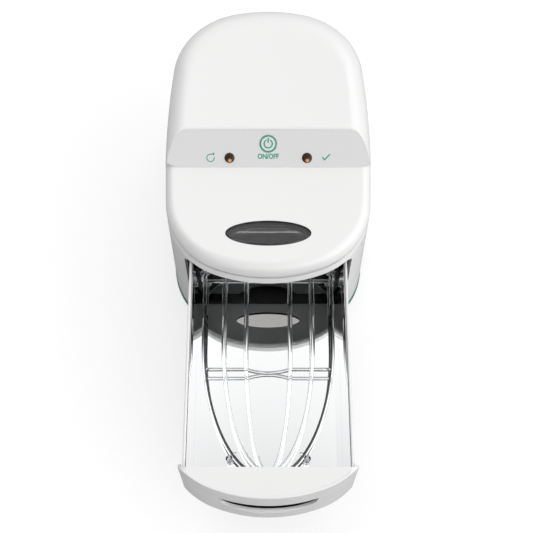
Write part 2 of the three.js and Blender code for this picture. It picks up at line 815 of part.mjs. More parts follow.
function makeSafetySwitch() {
  const back = bodyLength + lean(bayFloorTop + safetySwitch.height) - bayInset - bayWall - seam;
  const front = back - safetySwitch.depth;
  const base = bayFloorTop + seam;
  const top = bayFloorTop + safetySwitch.height;
  const middle = (drawerBottom + top) / 2;
  const body = boxSolid([-safetySwitch.halfWidth, safetySwitch.halfWidth], [front, back], [base, top]);
  const nub = boxSolid(
    [-safetySwitch.nubHalfWidth, safetySwitch.nubHalfWidth],
    [front - safetySwitch.nub, back - safetySwitch.depth / 2],
    [middle - safetySwitch.nubHalfWidth, middle + safetySwitch.nubHalfWidth],
  );
  addPiece("safety_switch", body.add(nub), "black");
}

// Power parts under the bay floor

const powerBoard = { halfWidth: 45, fromBack: 74, depth: 90, thickness: 1.6, height: 12 };
const choke = { halfWidth: 16, depth: 26, height: 16 };

function makePowerParts() {
  const floor = footHeight + wall;
  const boardTop = powerBoard.height + powerBoard.thickness;
  const boardBack = bodyLength - powerBoard.fromBack;
  const boardMiddle = boardBack - powerBoard.depth / 2;
  const standoffs = [-1, 1].flatMap((side) =>
    [-1, 1].map((end) =>
      discSolid(
        side * (powerBoard.halfWidth - column.radius),
        boardMiddle + end * (powerBoard.depth / 2 - column.radius),
        column.radius / 2,
        [floor + seam, powerBoard.height + powerBoard.thickness / 2],
      ),
    ),
  );
  const plate = boxSolid(
    [-powerBoard.halfWidth, powerBoard.halfWidth],
    [boardBack - powerBoard.depth, boardBack],
    [powerBoard.height, boardTop],
  );
  addPiece("power_board", join(plate, ...standoffs), "board");
  const chokeBottom = boardTop + seam;
  addPiece(
    "power_choke",
    boxGeometry(
      [-choke.halfWidth, choke.halfWidth],
      [boardMiddle - choke.depth / 2, boardMiddle + choke.depth / 2],
      [chokeBottom, chokeBottom + choke.height],
    ),
    "steel",
  );

  const face = bodyLength + lean(inletHeight) + inlet.proud;
  const { halfWidth, flange } = inlet;
  const zs = [inletHeight - inlet.halfHeight, inletHeight + inlet.halfHeight];
  const body = boxSolid([-halfWidth, halfWidth], [face - inlet.depth, face], zs);
  const socketHole = boxSolid(
    [-halfWidth + flange, halfWidth - flange],
    [face - inlet.depth / 2, face + overrun],
    [zs[0] + flange, zs[1] - flange],
  );
  const pins = [-1, 1].map((side) => {
    const middle = (side * halfWidth) / 3;
    const pin = new THREE.Shape();
    pin.absarc(middle, inletHeight, flange / 2, 0, 2 * Math.PI);
    return acrossSolid(pin, [face - inlet.depth / 2 - flange, face - flange], roundSides / 4);
  });
  addPiece("power_inlet", join(cut(body, socketHole), ...pins), "black");
}

// Drawer front: a hollow shell with a finger pocket, closed by a flat back. Its lower edge is
// rounded, and its outer skin runs on past the back as an ear at each side.

const frontShell = { wall: 2.4, lowerRadius: 16, lowerSteps: 5, ear: 3, earGap: 1 };
const pocket = { halfWidth: 44, drop: 24, belowTop: 29, depth: 13, lip: 1.5, wallThickness: 1.8 };
const pocketTop = mouthTop - pocket.belowTop;

// The cabinet's front form with its lower edge rounded, moved inwards by inset.
function frontForm(inset) {
  const radius = frontShell.lowerRadius - inset;
  const bottom = mouthBottom + runningGap + inset;
  const rings = [];
  for (let i = 0; i <= frontShell.lowerSteps; i += 1) {
    const turn = (i / frontShell.lowerSteps) * quarterTurn;
    const height = bottom + radius * (1 - Math.cos(turn));
    const tuck = inset + radius * (1 - Math.sin(turn));
    rings.push(ring(outline(lean(height) - tuck), height));
  }
  rings.push(ring(outline(lean(deckEdge) - inset), deckEdge));
  return solidOf(loftGeometry(rings));
}

// A half moon: a straight upper edge over a curved belly.
function pocketShape(grow) {
  const half = pocket.halfWidth + grow;
  const top = pocketTop + grow;
  const drop = pocket.drop + 2 * grow;
  const shape = new THREE.Shape();
  const steps = roundSides;
  shape.moveTo(half, top);
  shape.lineTo(-half, top);
  for (let i = 1; i < steps; i += 1) {
    const share = (2 * i) / steps - 1;
    shape.lineTo(half * share, top - drop * Math.sqrt(1 - share ** 2));
  }
  return shape;
}

// All that lies before the pocket's sloping floor, moved inwards by grow.
function pocketSlope(grow) {
  const low = pocketTop - pocket.drop - grow;
  const side = new THREE.Shape();
  side.moveTo(-overrun, low);
  side.lineTo(pocket.lip + grow, low);
  side.lineTo(pocket.depth + grow, pocketTop);
  side.lineTo(pocket.depth + grow, pocketTop + overrun);
  side.lineTo(-overrun, pocketTop + overrun);
  const reach = 2 * mouthHalfWidth;
  const geometry = new THREE.ExtrudeGeometry(side, { depth: reach, bevelEnabled: false });
  return solidOf(geometry.rotateY(quarterTurn).rotateX(quarterTurn).translate(-mouthHalfWidth, 0, 0));
}

function makeDrawerFront() {
  const inset = frontShell.wall;
  const earEnd = drawerFrontDepth + frontShell.ear;
  const form = frontForm(0).intersect(acrossSolid(mouthShape(runningGap), [-overrun, earEnd]));
  const hollow = frontForm(inset).intersect(
    acrossSolid(mouthShape(runningGap + inset), [-overrun, earEnd + overrun]),
  );
  const betweenEars = boxSolid(
    [-drawerHalfWidth - frontShell.earGap, drawerHalfWidth + frontShell.earGap],
    [drawerFrontDepth, earEnd + overrun],
    [0, deckHeight],
  );
  const reach = pocket.depth + pocket.wallThickness + overrun;
  const bowl = acrossSolid(pocketShape(pocket.wallThickness), [-overrun, reach])
    .intersect(pocketSlope(pocket.wallThickness))
    .intersect(frontForm(0));
  const hole = acrossSolid(pocketShape(0), [-overrun, reach]).intersect(pocketSlope(0));
  addPiece("drawer_front", join(cut(form, hollow, betweenEars), bowl).subtract(hole), "white", drawer);

  const backInset = runningGap + inset + seam;
  const plate = acrossSolid(mouthShape(backInset), [drawerFrontDepth - wall, drawerFrontDepth]);
  addPiece("drawer_front_back", plate.intersect(frontForm(inset + seam)), "white", drawer);
}

// Drawer box and its mirror lining

function drawerShape(inset, front) {
  const half = drawerHalfWidth - inset;
  const back = boxEnd - inset;
  const radius = drawerBackCornerRadius - inset;
  const shape = new THREE.Shape();
  shape.moveTo(-half, front);
  shape.lineTo(half, front);
  shape.lineTo(half, back - radius);
  shape.absarc(half - radius, back - radius, radius, 0, quarterTurn);
  shape.absarc(-half + radius, back - radius, radius, quarterTurn, Math.PI);
  return shape;
}

const lining = { thickness: 1.2, rimGap: 4 };

function drawerPlate(inset, front, [z0, z1]) {
  const options = { depth: z1 - z0, bevelEnabled: false, curveSegments: 6 };
  return solidOf(new THREE.ExtrudeGeometry(drawerShape(inset, front), options).translate(0, 0, z0));
}

function makeDrawerBox() {
  const floorTop = drawerBottom + wall;
  const outer = drawerPlate(0, boxFront, [drawerBottom, drawerRim]);
  const hollow = drawerPlate(wall, boxFront - overrun, [floorTop, drawerRim + overrun]);
  const tab = boxSolid(
    [-stop.tabHalfWidth, stop.tabHalfWidth],
    [boxEnd - wall - stop.tabDepth, boxEnd - wall],
    [drawerBottom - stop.tabDrop, floorTop - wall / 2],
  );
  addPiece("drawer_box", outer.subtract(hollow).add(tab), "white", drawer);

  const mirror = drawerPlate(wall + seam, boxFront + seam, [floorTop + seam, mirrorHeight]);
  addPiece("mirror_floor", mirror, "mirror", drawer);
}

function makeMirrorWalls() {
  const bottom = mirrorHeight + seam;
  const top = drawerRim - lining.rimGap;
  const zs = [bottom - overrun, top + overrun];
  const outer = drawerPlate(wall + seam, boxFront + seam, [bottom, top]);
  const inner = drawerPlate(wall + seam + lining.thickness, boxFront - overrun, zs);
  const skin = outer.subtract(inner);
  const half = drawerHalfWidth + overrun;
  const bendStart = boxEnd - drawerBackCornerRadius;
  const sideZone = (side) => {
    const xs = side < 0 ? [-half, 0] : [0, half];
    return boxSolid(xs, [0, bendStart - seam / 2], zs);
  };
  addPiece("mirror_wall_left", skin.intersect(sideZone(-1)), "mirror", drawer);
  addPiece("mirror_wall_right", skin.intersect(sideZone(1)), "mirror", drawer);
  const backZone = boxSolid([-half, half], [bendStart + seam / 2, boxEnd + overrun], zs);
  addPiece("mirror_wall_back", skin.intersect(backZone), "mirror", drawer);
}

// Clear rack: six rods that draw together toward the front, three bars across and four feet. The
// middle bar dips between the inner rods.

const rack = {
  rodRadius: 2,
  barRadius: 1.8,
  aboveMirror: 14.2,
  fromFront: 38,
  fromBack: 31.5,
  dip: 11,
  sides: 6,
  steps: 14,
  dipSteps: 8,
};
const rackHeight = mirrorHeight + rack.aboveMirror;
const rackEnd = boxEnd - rack.fromBack;

// Along the rack, as shares of its length: where the rods start to bend, and its middle bar
const bendShare = 0.64;
const middleBarShare = 0.48;
const bendStart = THREE.MathUtils.lerp(rack.fromFront, rackEnd, bendShare);
const middleBar = THREE.MathUtils.lerp(rack.fromFront, rackEnd, middleBarShare);

// A rod's distance from the middle as a share of the drawer's half width, and the length in
// which its curve would close as a share of the bend's length
const rods = [
  { asideShare: 0.855, closeShare: 1.055 },
  { asideShare: 0.593, closeShare: 1.016 },
  { asideShare: 0.2966, closeShare: 1.023 },
];
const rackFoot = { ballRadius: 3.4, neckRadius: 1.5, fromNose: 14, fromEnd: 4.5 };

// Half the distance between a pair of rods at a distance behind the drawer's front.
function rodSpread(rod, y) {
  const closing = rod.closeShare * (bendStart - rack.fromFront);
  const gone = Math.max(0, bendStart - y) / closing;
  return rod.asideShare * drawerHalfWidth * Math.sqrt(1 - gone ** 2);
}

class RodCurve extends THREE.Curve {
  constructor(rod, side) {
    super();
    this.rod = rod;
    this.side = side;
  }

  getPoint(t, target = new THREE.Vector3()) {
    const y = THREE.MathUtils.lerp(rack.fromFront, rackEnd, t);
    return target.set(this.side * rodSpread(this.rod, y), y, rackHeight);
  }
}

// The middle bar runs level from each outer rod and dips between the two inner rods.
class DipCurve extends THREE.Curve {
  getPoint(t, target = new THREE.Vector3()) {
    const half = rodSpread(rods.at(-1), middleBar);
    const x = THREE.MathUtils.lerp(-half, half, t);
    const fall = rack.dip * (1 - (x / half) ** 2);
    return target.set(x, middleBar, rackHeight - fall);
  }
}

function crossBar(x0, x1, y) {
  const ends = [x0, x1].map((x) => new THREE.Vector3(x, y, rackHeight));
  return solidOf(barGeometry(new THREE.LineCurve3(...ends), rack.barRadius, 1, rack.sides));
}

function makeRack() {
  const parts = [];
  for (const rod of rods) {
    for (const side of [-1, 1]) {
      parts.push(solidOf(barGeometry(new RodCurve(rod, side), rack.rodRadius, rack.steps, rack.sides)));
    }
  }
  for (const y of [rackEnd, rack.fromFront]) {
    const half = rodSpread(rods[0], y);
    parts.push(crossBar(-half, half, y));
  }
  parts.push(solidOf(barGeometry(new DipCurve(), rack.barRadius, rack.dipSteps, rack.sides)));
  const inner = rodSpread(rods.at(-1), middleBar);
  const outer = rodSpread(rods[0], middleBar);
  for (const side of [-1, 1]) {
    parts.push(crossBar(side * inner, side * outer, middleBar));
  }
  addPiece("rack", join(...parts), "clear", drawer);
}

function makeRackFeet() {
  const bottom = mirrorHeight + seam;
  const top = rackHeight - rack.rodRadius - seam;
  const ballSteps = 6;
  for (const [place, y] of [
    ["front", rack.fromFront + rackFoot.fromNose],
    ["back", rackEnd - rackFoot.fromEnd],
  ]) {
    for (const side of [-1, 1]) {
      const profile = [];
      for (let i = 0; i < ballSteps; i += 1) {
        const turn = (i / ballSteps) * (Math.PI - Math.asin(rackFoot.neckRadius / rackFoot.ballRadius));
        const radius = rackFoot.ballRadius * Math.sin(turn);
        profile.push([radius, bottom + rackFoot.ballRadius * (1 - Math.cos(turn))]);
      }
      profile.push([rackFoot.neckRadius, top]);
      profile.push([0, top]);
      const name = "rack_foot_" + place + (side < 0 ? "_left" : "_right");
      const x = side * rodSpread(rods[0], y);
      addPiece(name, turnedGeometry(profile, x, y, roundSides / 2), "clear", drawer);
    }
  }
}

makeBase();
makeFeet();
makeBaseScrews();
makeTrim();
makeHousing();
makeWindow();
makePanel();
makeButton();
makeLedLenses();
makeControlBoard();
makeCeiling();
makeBaffle();
makeLamp();
makeBallast();
makeBay();
makeRails();
makeStop();
makeSafetySwitch();
makePowerParts();
makeDrawerFront();
makeDrawerBox();
makeMirrorWalls();
makeRunners();
makeRack();
makeRackFeet();

// The open cabinet's middle goes to the origin.
const openFront = -drawerTravel - lean(mouthBottom + runningGap);
const openBack = bodyLength + lean(trimBottom) + seam;
cabinet.position.y = -(openFront + openBack) / 2;

export default cabinet;
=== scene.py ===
import json
import math

import bmesh
import bpy
import numpy as np
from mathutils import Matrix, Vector


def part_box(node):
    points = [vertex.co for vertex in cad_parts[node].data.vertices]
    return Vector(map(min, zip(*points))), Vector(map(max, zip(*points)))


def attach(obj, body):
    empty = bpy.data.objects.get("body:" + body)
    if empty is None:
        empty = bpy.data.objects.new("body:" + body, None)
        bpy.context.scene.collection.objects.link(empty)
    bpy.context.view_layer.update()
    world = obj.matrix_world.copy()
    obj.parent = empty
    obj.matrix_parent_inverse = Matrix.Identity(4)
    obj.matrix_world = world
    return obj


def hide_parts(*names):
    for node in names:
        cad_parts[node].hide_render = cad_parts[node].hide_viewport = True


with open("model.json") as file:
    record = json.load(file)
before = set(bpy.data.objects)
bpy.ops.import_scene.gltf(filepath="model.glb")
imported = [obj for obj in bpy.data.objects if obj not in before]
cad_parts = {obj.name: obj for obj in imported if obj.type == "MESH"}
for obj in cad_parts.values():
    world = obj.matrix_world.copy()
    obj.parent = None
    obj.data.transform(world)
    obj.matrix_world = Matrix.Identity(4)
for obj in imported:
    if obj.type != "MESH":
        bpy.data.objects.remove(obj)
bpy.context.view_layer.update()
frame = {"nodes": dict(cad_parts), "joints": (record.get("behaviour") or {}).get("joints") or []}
print("frame loaded")

# Shapes are drawn in mm, x across, y back from the cabinet's front lip, z up from the table.
# A drawer piece is drawn in the closed drawer, and newPiece slides it out.
mm = 0.001
seam = 0.3
wall = 2.5
runningGap = 1.0
quarter = math.pi / 2
mergeDistance = 1e-7
past = 6  # how far a cutter runs past what it cuts

body = {
    "length": 284,
    "halfWidth": 96,
    "frontRadius": 140,
    "frontCorner": 70,
    "sideRadius": 900,
    "widest": 130,
    "backCorner": 75,
    "backRadius": 150,
    "deck": 168,
    "edge": 9,
    "hump": 188,
    "shoulderShare": 0.22,
    "spread": 3.4,
    "bottom": 14.4,
    "bandFoot": 104,
    "bandRun": 30.5,
    "bandCorner": 11,
    "bandSetback": 4.5,
    "beyond": 20,
    "arcSteps": (16, 26, 34, 26, 16),
}
deckEdge = body["deck"] - body["edge"]
travel = frame["joints"][0]["range_m"][1] / mm


def lean(height):  # how far the wall stands outside the deck's outline
    return body["spread"] * (deckEdge - height) / deckEdge


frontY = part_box("upper_housing")[1].y / mm - body["length"] - lean(body["bottom"])


# making and cutting meshes


def addObject(name, data):
    thing = bpy.data.objects.new(name, data)
    bpy.context.scene.collection.objects.link(thing)
    return thing


def newPiece(name, points, faces, slide=0.0, clean=True):
    mesh = bpy.data.meshes.new(name)
    placed = (np.asarray(points, float) + (0, frontY - slide, 0)) * mm
    mesh.from_pydata(placed.tolist(), [], [list(map(int, face)) for face in faces])
    if clean:
        work = bmesh.new()
        work.from_mesh(mesh)
        bmesh.ops.remove_doubles(work, verts=work.verts, dist=mergeDistance)
        bmesh.ops.recalc_face_normals(work, faces=work.faces)
        work.to_mesh(mesh)
        work.free()
    mesh.update()
    return addObject(name, mesh)


def dropPiece(piece):
    mesh = piece.data
    bpy.data.objects.remove(piece)
    bpy.data.meshes.remove(mesh)


def bake(piece):  # the modifiers' result becomes the piece's own mesh
    graph = bpy.context.evaluated_depsgraph_get()
    made = bpy.data.meshes.new_from_object(piece.evaluated_get(graph))
    piece.modifiers.clear()
    old = piece.data
    piece.data = made
    made.name = piece.name
    bpy.data.meshes.remove(old)
    return piece


def carve(piece, way, *tools):
    for tool in tools:
        cutter = piece.modifiers.new("carve", "BOOLEAN")
        cutter.operation = way
        cutter.solver = "MANIFOLD"
        cutter.object = tool
        bake(piece)
        dropPiece(tool)
    return piece


def gather(name, *pieces):  # several solids become one piece
    work = bmesh.new()
    for piece in pieces:
        work.from_mesh(piece.data)
    mesh = bpy.data.meshes.new(name)
    work.to_mesh(mesh)
    work.free()
    for piece in pieces:
        dropPiece(piece)
    return addObject(name, mesh)


def soften(piece, width, angle=40, segments=2):  # rounds the sharp edges
    bevel = piece.modifiers.new("soften", "BEVEL")
    bevel.width = width * mm
    bevel.segments = segments
    bevel.limit_method = "ANGLE"
    bevel.angle_limit = math.radians(angle)
    bevel.use_clamp_overlap = True
    return bake(piece)


def dress(piece, rides, material, slot, *nodes, sharp=32):
    piece.data.materials.clear()
    piece.data.materials.append(material)
    piece.data.polygons.foreach_set("material_index", [0] * len(piece.data.polygons))
    piece.data.shade_smooth()
    piece.data.set_sharp_from_angle(angle=math.radians(sharp))
    even = piece.modifiers.new("even", "WEIGHTED_NORMAL")
    even.keep_sharp = True
    even.weight = 80
    bake(piece)
    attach(piece, rides)
    if nodes:
        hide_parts(*nodes)


def paintFaces(piece, material, isPainted):  # a second material on the faces that pass the test
    piece.data.materials.append(material)
    for face in piece.data.polygons:
        if isPainted(face):
            face.material_index = 1


def loft(rings, loop=False):  # rings of equal count, capped unless the rings run in a loop
    rings = np.asarray(rings, float)
    levels, count = rings.shape[:2]
    faces = []
    for level in range(levels if loop else levels - 1):
        here = level * count
        above = ((level + 1) % levels) * count
        for i in range(count):
            j = (i + 1) % count
            faces.append((here + i, here + j, above + j, above + i))
    if not loop:
        faces.append(tuple(range(count - 1, -1, -1)))
        faces.append(tuple(range((levels - 1) * count, levels * count)))
    return rings.reshape(-1, 3), faces


def boxOf(xs, ys, zs):
    corners = [(xs[0], ys[0]), (xs[1], ys[0]), (xs[1], ys[1]), (xs[0], ys[1])]
    return loft([[(x, y, z) for x, y in corners] for z in zs])


def upright(shape, zs):  # a plan shape between two heights
    return loft([[(x, y, z) for x, y in shape] for z in zs])


def across(shape, ys):  # a shape of x and z between two depths
    return loft([[(x, y, z) for x, z in shape] for y in ys])


def arcPoints(x, y, radius, start, end, steps):
    turns = np.linspace(start, end, steps + 1)
    return [(x + radius * math.cos(t), y + radius * math.sin(t)) for t in turns]


def around(sides):  # the turns of a full circle
    return np.arange(sides) / sides * 2 * math.pi


def rounding(rows):  # the turns of a rounded edge
    return np.linspace(0, quarter, rows)


def oval(x, y, halfWidth, halfDepth, sides=96):
    return [(x + halfWidth * math.cos(t), y + halfDepth * math.sin(t)) for t in around(sides)]


def turned(profile, x=0.0, y=0.0, sides=40):  # radius and height pairs, from axis to axis
    return loft([[(x + r * math.cos(t), y + r * math.sin(t), h) for t in around(sides)]
                 for r, h in profile])


def tubeAlong(path, radius, sides, up):  # a round section kept square to a path of points
    path = np.asarray(path, float)
    tangents = np.gradient(path, axis=0)
    tangents /= np.linalg.norm(tangents, axis=1)[:, None]
    rings = []
    for point, along in zip(path, tangents):
        aside = np.cross(along, up)
        aside /= np.linalg.norm(aside)
        over = np.cross(aside, along)
        rings.append([point + radius * (aside * math.cos(t) + over * math.sin(t))
                      for t in around(sides)])
    return loft(rings)


# the cabinet's plan: arcs that run into each other


def cornerArc(end, side, radius, backward):
    endReach, sideReach = end[2] - radius, side[2] - radius
    dx, dy = side[0] - end[0], side[1] - end[1]
    apart = math.hypot(dx, dy)
    along = (endReach**2 - sideReach**2 + apart**2) / (2 * apart)
    aside = math.sqrt(endReach**2 - along**2) * (-1 if backward else 1)
    x = end[0] + (along * dx - aside * dy) / apart
    return x, end[1] + (along * dy + aside * dx) / apart, radius


def heading(start, end):
    return math.atan2(end[1] - start[1], end[0] - start[0])


def makePlan():
    front = (0, body["frontRadius"], body["frontRadius"])
    back = (0, body["length"] - body["backRadius"], body["backRadius"])
    side = (body["halfWidth"] - body["sideRadius"], body["widest"], body["sideRadius"])
    frontCorner = cornerArc(front, side, body["frontCorner"], False)
    backCorner = cornerArc(back, side, body["backCorner"], True)
    turns = [-quarter, heading(front, frontCorner), heading(side, frontCorner),
             heading(side, backCorner), heading(back, backCorner), quarter]
    arcs = [front, frontCorner, side, backCorner, back]
    rows = []
    for i, (x, y, radius) in enumerate(arcs):
        for turn in np.linspace(turns[i], turns[i + 1], body["arcSteps"][i], endpoint=False):
            rows.append((x, y, radius, math.cos(turn), math.sin(turn)))
    rows.append((back[0], back[1], back[2], 0, 1))
    right = np.array(rows)
    left = right[1:-1][::-1] * (-1, 1, 1, -1, 1)
    return np.vstack([right, left])


plan = makePlan()


def outline(grow):
    reach = plan[:, 2] + grow
    return np.column_stack([plan[:, 0] + reach * plan[:, 3], plan[:, 1] + reach * plan[:, 4]])


def ring(grow, height):
    flat = outline(grow)
    return np.column_stack([flat, np.full(len(flat), height)])


def leaning(inset, zs):
    return loft([ring(lean(z) - inset, z) for z in zs])


# the band's own frame: u across, v up the slope, w out of its face
bandTilt = math.atan2(body["hump"] - body["deck"], body["bandRun"])
bandLength = math.hypot(body["hump"] - body["deck"], body["bandRun"])


def onBand(points):
    points = np.asarray(points, float)
    u, v, w = points[:, 0], points[:, 1], points[:, 2]
    c, s = math.cos(bandTilt), math.sin(bandTilt)
    return np.column_stack([u, body["bandFoot"] + v * c - w * s, body["deck"] + v * s + w * c])


# Materials

# how the marks on a surface lie: the noise's detail of each, how much finer the wipe marks are
# than the mottling, and the part of their noise that changes the gloss
marks = {
    "mottleDetail": 3,
    "grainDetail": 2,
    "wipeDetail": 5,
    "wipeFiner": 3.7,
    "wipeRange": (0.3, 0.7),
    "bumpDistance": 0.0002,
}


def newTree(name, kind, inputs, outputs):  # a node group with its named sockets
    tree = bpy.data.node_groups.new(name, kind)
    for way, sockets in (("INPUT", inputs), ("OUTPUT", outputs)):
        for label, sort, *value in sockets:
            socket = tree.interface.new_socket(label, in_out=way, socket_type="NodeSocket" + sort)
            if value:
                socket.default_value = value[0]
    return tree


def mixColors(nodes, blend="MIX"):
    mix = nodes.new("ShaderNodeMix")
    mix.data_type = "RGBA"
    mix.blend_type = blend
    return mix


def makeSurfaceGroup():
    # Fine grain, broad mottling and wipe marks of a moulded or rolled surface.
    # It puts out a colour, a roughness and a height that change over the surface.
    tree = newTree("surfaceDetail", "ShaderNodeTree", [
        ("Tone", "Color", (0.8, 0.8, 0.8, 1)),
        ("Shade", "Color", (0.7, 0.7, 0.7, 1)),
        ("Mottle Scale", "Float", 18.0),
        ("Grain Scale", "Float", 900.0),
        ("Gloss Low", "Float", 0.2),
        ("Gloss High", "Float", 0.3),
        ("Stretch", "Vector", (1, 1, 1)),
    ], [("Color", "Color"), ("Roughness", "Float"), ("Height", "Float")])
    add, link = tree.nodes.new, tree.links.new
    given, out = add("NodeGroupInput"), add("NodeGroupOutput")
    place = add("ShaderNodeTexCoord")
    stretch = add("ShaderNodeVectorMath")
    stretch.operation = "MULTIPLY"
    link(place.outputs["Object"], stretch.inputs[0])
    link(given.outputs["Stretch"], stretch.inputs[1])
    wipeScale = add("ShaderNodeMath")
    wipeScale.operation = "MULTIPLY"
    wipeScale.inputs[1].default_value = marks["wipeFiner"]
    link(given.outputs["Mottle Scale"], wipeScale.inputs[0])

    def noise(detail, scale):
        node = add("ShaderNodeTexNoise")
        node.inputs["Detail"].default_value = detail
        link(stretch.outputs[0], node.inputs["Vector"])
        link(scale, node.inputs["Scale"])
        return node

    mottle = noise(marks["mottleDetail"], given.outputs["Mottle Scale"])
    grain = noise(marks["grainDetail"], given.outputs["Grain Scale"])
    wipe = noise(marks["wipeDetail"], wipeScale.outputs[0])
    mix = mixColors(tree.nodes)
    link(mottle.outputs["Fac"], mix.inputs["Factor"])
    link(given.outputs["Tone"], mix.inputs["A"])
    link(given.outputs["Shade"], mix.inputs["B"])
    link(mix.outputs["Result"], out.inputs["Color"])
    spread = add("ShaderNodeMapRange")
    spread.inputs["From Min"].default_value = marks["wipeRange"][0]
    spread.inputs["From Max"].default_value = marks["wipeRange"][1]
    link(wipe.outputs["Fac"], spread.inputs["Value"])
    link(given.outputs["Gloss Low"], spread.inputs["To Min"])
    link(given.outputs["Gloss High"], spread.inputs["To Max"])
    link(spread.outputs["Result"], out.inputs["Roughness"])
    link(grain.outputs["Fac"], out.inputs["Height"])
    return tree


surfaceGroup = makeSurfaceGroup()


def surfaceMaterial(name, tone, shade, gloss, mottle, grain, bump, stretch=(1, 1, 1), **plain):
    material = bpy.data.materials.new(name)
    material.use_nodes = True
    nodes, link = material.node_tree.nodes, material.node_tree.links.new
    shader = nodes["Principled BSDF"]
    detail = nodes.new("ShaderNodeGroup")
    detail.node_tree = surfaceGroup
    detail.inputs["Tone"].default_value = (*tone, 1)
    detail.inputs["Shade"].default_value = (*shade, 1)
    detail.inputs["Mottle Scale"].default_value = mottle
    detail.inputs["Grain Scale"].default_value = grain
    detail.inputs["Gloss Low"].default_value = gloss[0]
    detail.inputs["Gloss High"].default_value = gloss[1]
    detail.inputs["Stretch"].default_value = stretch
    link(detail.outputs["Color"], shader.inputs["Base Color"])
    link(detail.outputs["Roughness"], shader.inputs["Roughness"])
    bumpNode = nodes.new("ShaderNodeBump")
    bumpNode.inputs["Strength"].default_value = bump
    bumpNode.inputs["Distance"].default_value = marks["bumpDistance"]
    link(detail.outputs["Height"], bumpNode.inputs["Height"])
    link(bumpNode.outputs["Normal"], shader.inputs["Normal"])
    for socket, value in plain.items():
        shader.inputs[socket.replace("_", " ")].default_value = value
    return material


finishes = {
    "white": {
        "name": "glossWhite", "tone": (0.755, 0.755, 0.75), "shade": (0.728, 0.728, 0.725),
        "gloss": (0.20, 0.27), "mottle": 9, "grain": 1400, "bump": 0.03,
        "Coat_Weight": 0.35, "Coat_Roughness": 0.05,
    },
    # the band's grey, also on the cap, is partly its own colour and partly painted shade for its
    # face tilted toward the front
    "band": {
        "name": "satinGrey", "tone": (0.645, 0.65, 0.645), "shade": (0.625, 0.63, 0.625),
        "gloss": (0.34, 0.42), "mottle": 11, "grain": 2200, "bump": 0.05,
    },
    "teal": {
        "name": "trimTeal", "tone": (0.003, 0.15, 0.125), "shade": (0.003, 0.13, 0.105),
        "gloss": (0.3, 0.4), "mottle": 25, "grain": 1200, "bump": 0.03, "Specular_IOR_Level": 0.12,
    },
    "ink": {
        "name": "tealInk", "tone": (0.004, 0.30, 0.20), "shade": (0.006, 0.26, 0.17),
        "gloss": (0.38, 0.48), "mottle": 90, "grain": 3000, "bump": 0.05,
    },
    # painted shade: a grey for the shaded underside of the hood and the floor of the parting groove
    "dark": {
        "name": "hoodGrey", "tone": (0.36, 0.36, 0.365), "shade": (0.32, 0.32, 0.325),
        "gloss": (0.38, 0.5), "mottle": 20, "grain": 1500, "bump": 0.12,
    },
    "black": {
        "name": "blackPlastic", "tone": (0.012, 0.012, 0.012), "shade": (0.018, 0.018, 0.018),
        "gloss": (0.34, 0.46), "mottle": 30, "grain": 1600, "bump": 0.1,
    },
    "rubber": {
        "name": "softRubber", "tone": (0.02, 0.02, 0.02), "shade": (0.03, 0.03, 0.03),
        "gloss": (0.7, 0.85), "mottle": 40, "grain": 1800, "bump": 0.3,
    },
    "steel": {
        "name": "brushedSteel", "tone": (0.62, 0.63, 0.64), "shade": (0.52, 0.53, 0.55),
        "gloss": (0.22, 0.4), "mottle": 30, "grain": 500, "bump": 0.12,
        "stretch": (1, 0.04, 1), "Metallic": 1.0,
    },
    "mirror": {
        "name": "mirrorSheet", "tone": (0.93, 0.935, 0.94), "shade": (0.90, 0.905, 0.91),
        "gloss": (0.015, 0.03), "mottle": 6, "grain": 60, "bump": 0.01, "Metallic": 1.0,
    },
    "board": {
        "name": "boardGreen", "tone": (0.02, 0.12, 0.05), "shade": (0.015, 0.09, 0.04),
        "gloss": (0.35, 0.5), "mottle": 60, "grain": 900, "bump": 0.15,
    },
    "clear": {
        "name": "clearPlastic", "tone": (0.97, 0.985, 0.985), "shade": (0.94, 0.965, 0.965),
        "gloss": (0.01, 0.03), "mottle": 40, "grain": 300, "bump": 0.02,
        "Transmission_Weight": 1.0, "IOR": 1.49, "Specular_IOR_Level": 0.2,
    },
    "glass": {
        "name": "lampGlass", "tone": (0.96, 0.98, 1.0), "shade": (0.93, 0.96, 0.98),
        "gloss": (0.01, 0.03), "mottle": 30, "grain": 200, "bump": 0.02,
        "Transmission_Weight": 1.0, "IOR": 1.46,
    },
    "smoked": {
        "name": "smokedLens", "tone": (0.44, 0.43, 0.42), "shade": (0.42, 0.41, 0.40),
        "gloss": (0.03, 0.07), "mottle": 25, "grain": 800, "bump": 0.01,
        "Transmission_Weight": 1.0, "IOR": 1.49,
    },
    # painted shade: a dark clear plastic for the outer rods' inner flank, for the dark line that
    # refraction gives there
    "clearPaintedShade": {
        "name": "clearPlasticDeep", "tone": (0.035, 0.036, 0.036), "shade": (0.025, 0.026, 0.026),
        "gloss": (0.02, 0.05), "mottle": 40, "grain": 300, "bump": 0.02,
        "Transmission_Weight": 1.0, "IOR": 1.49, "Specular_IOR_Level": 0.1,
    },
}
finish = {look: surfaceMaterial(**values) for look, values in finishes.items()}
# painted shade: the clear plastic darkens toward edges that turn away from view, for the dark edges
# refraction gives; facing and edge tints, blend and power
paintedEdgeShadeTint = {"facing": (0.97, 0.97, 0.97), "edge": (0.14, 0.15, 0.15), "blend": 0.5, "power": 1.7}


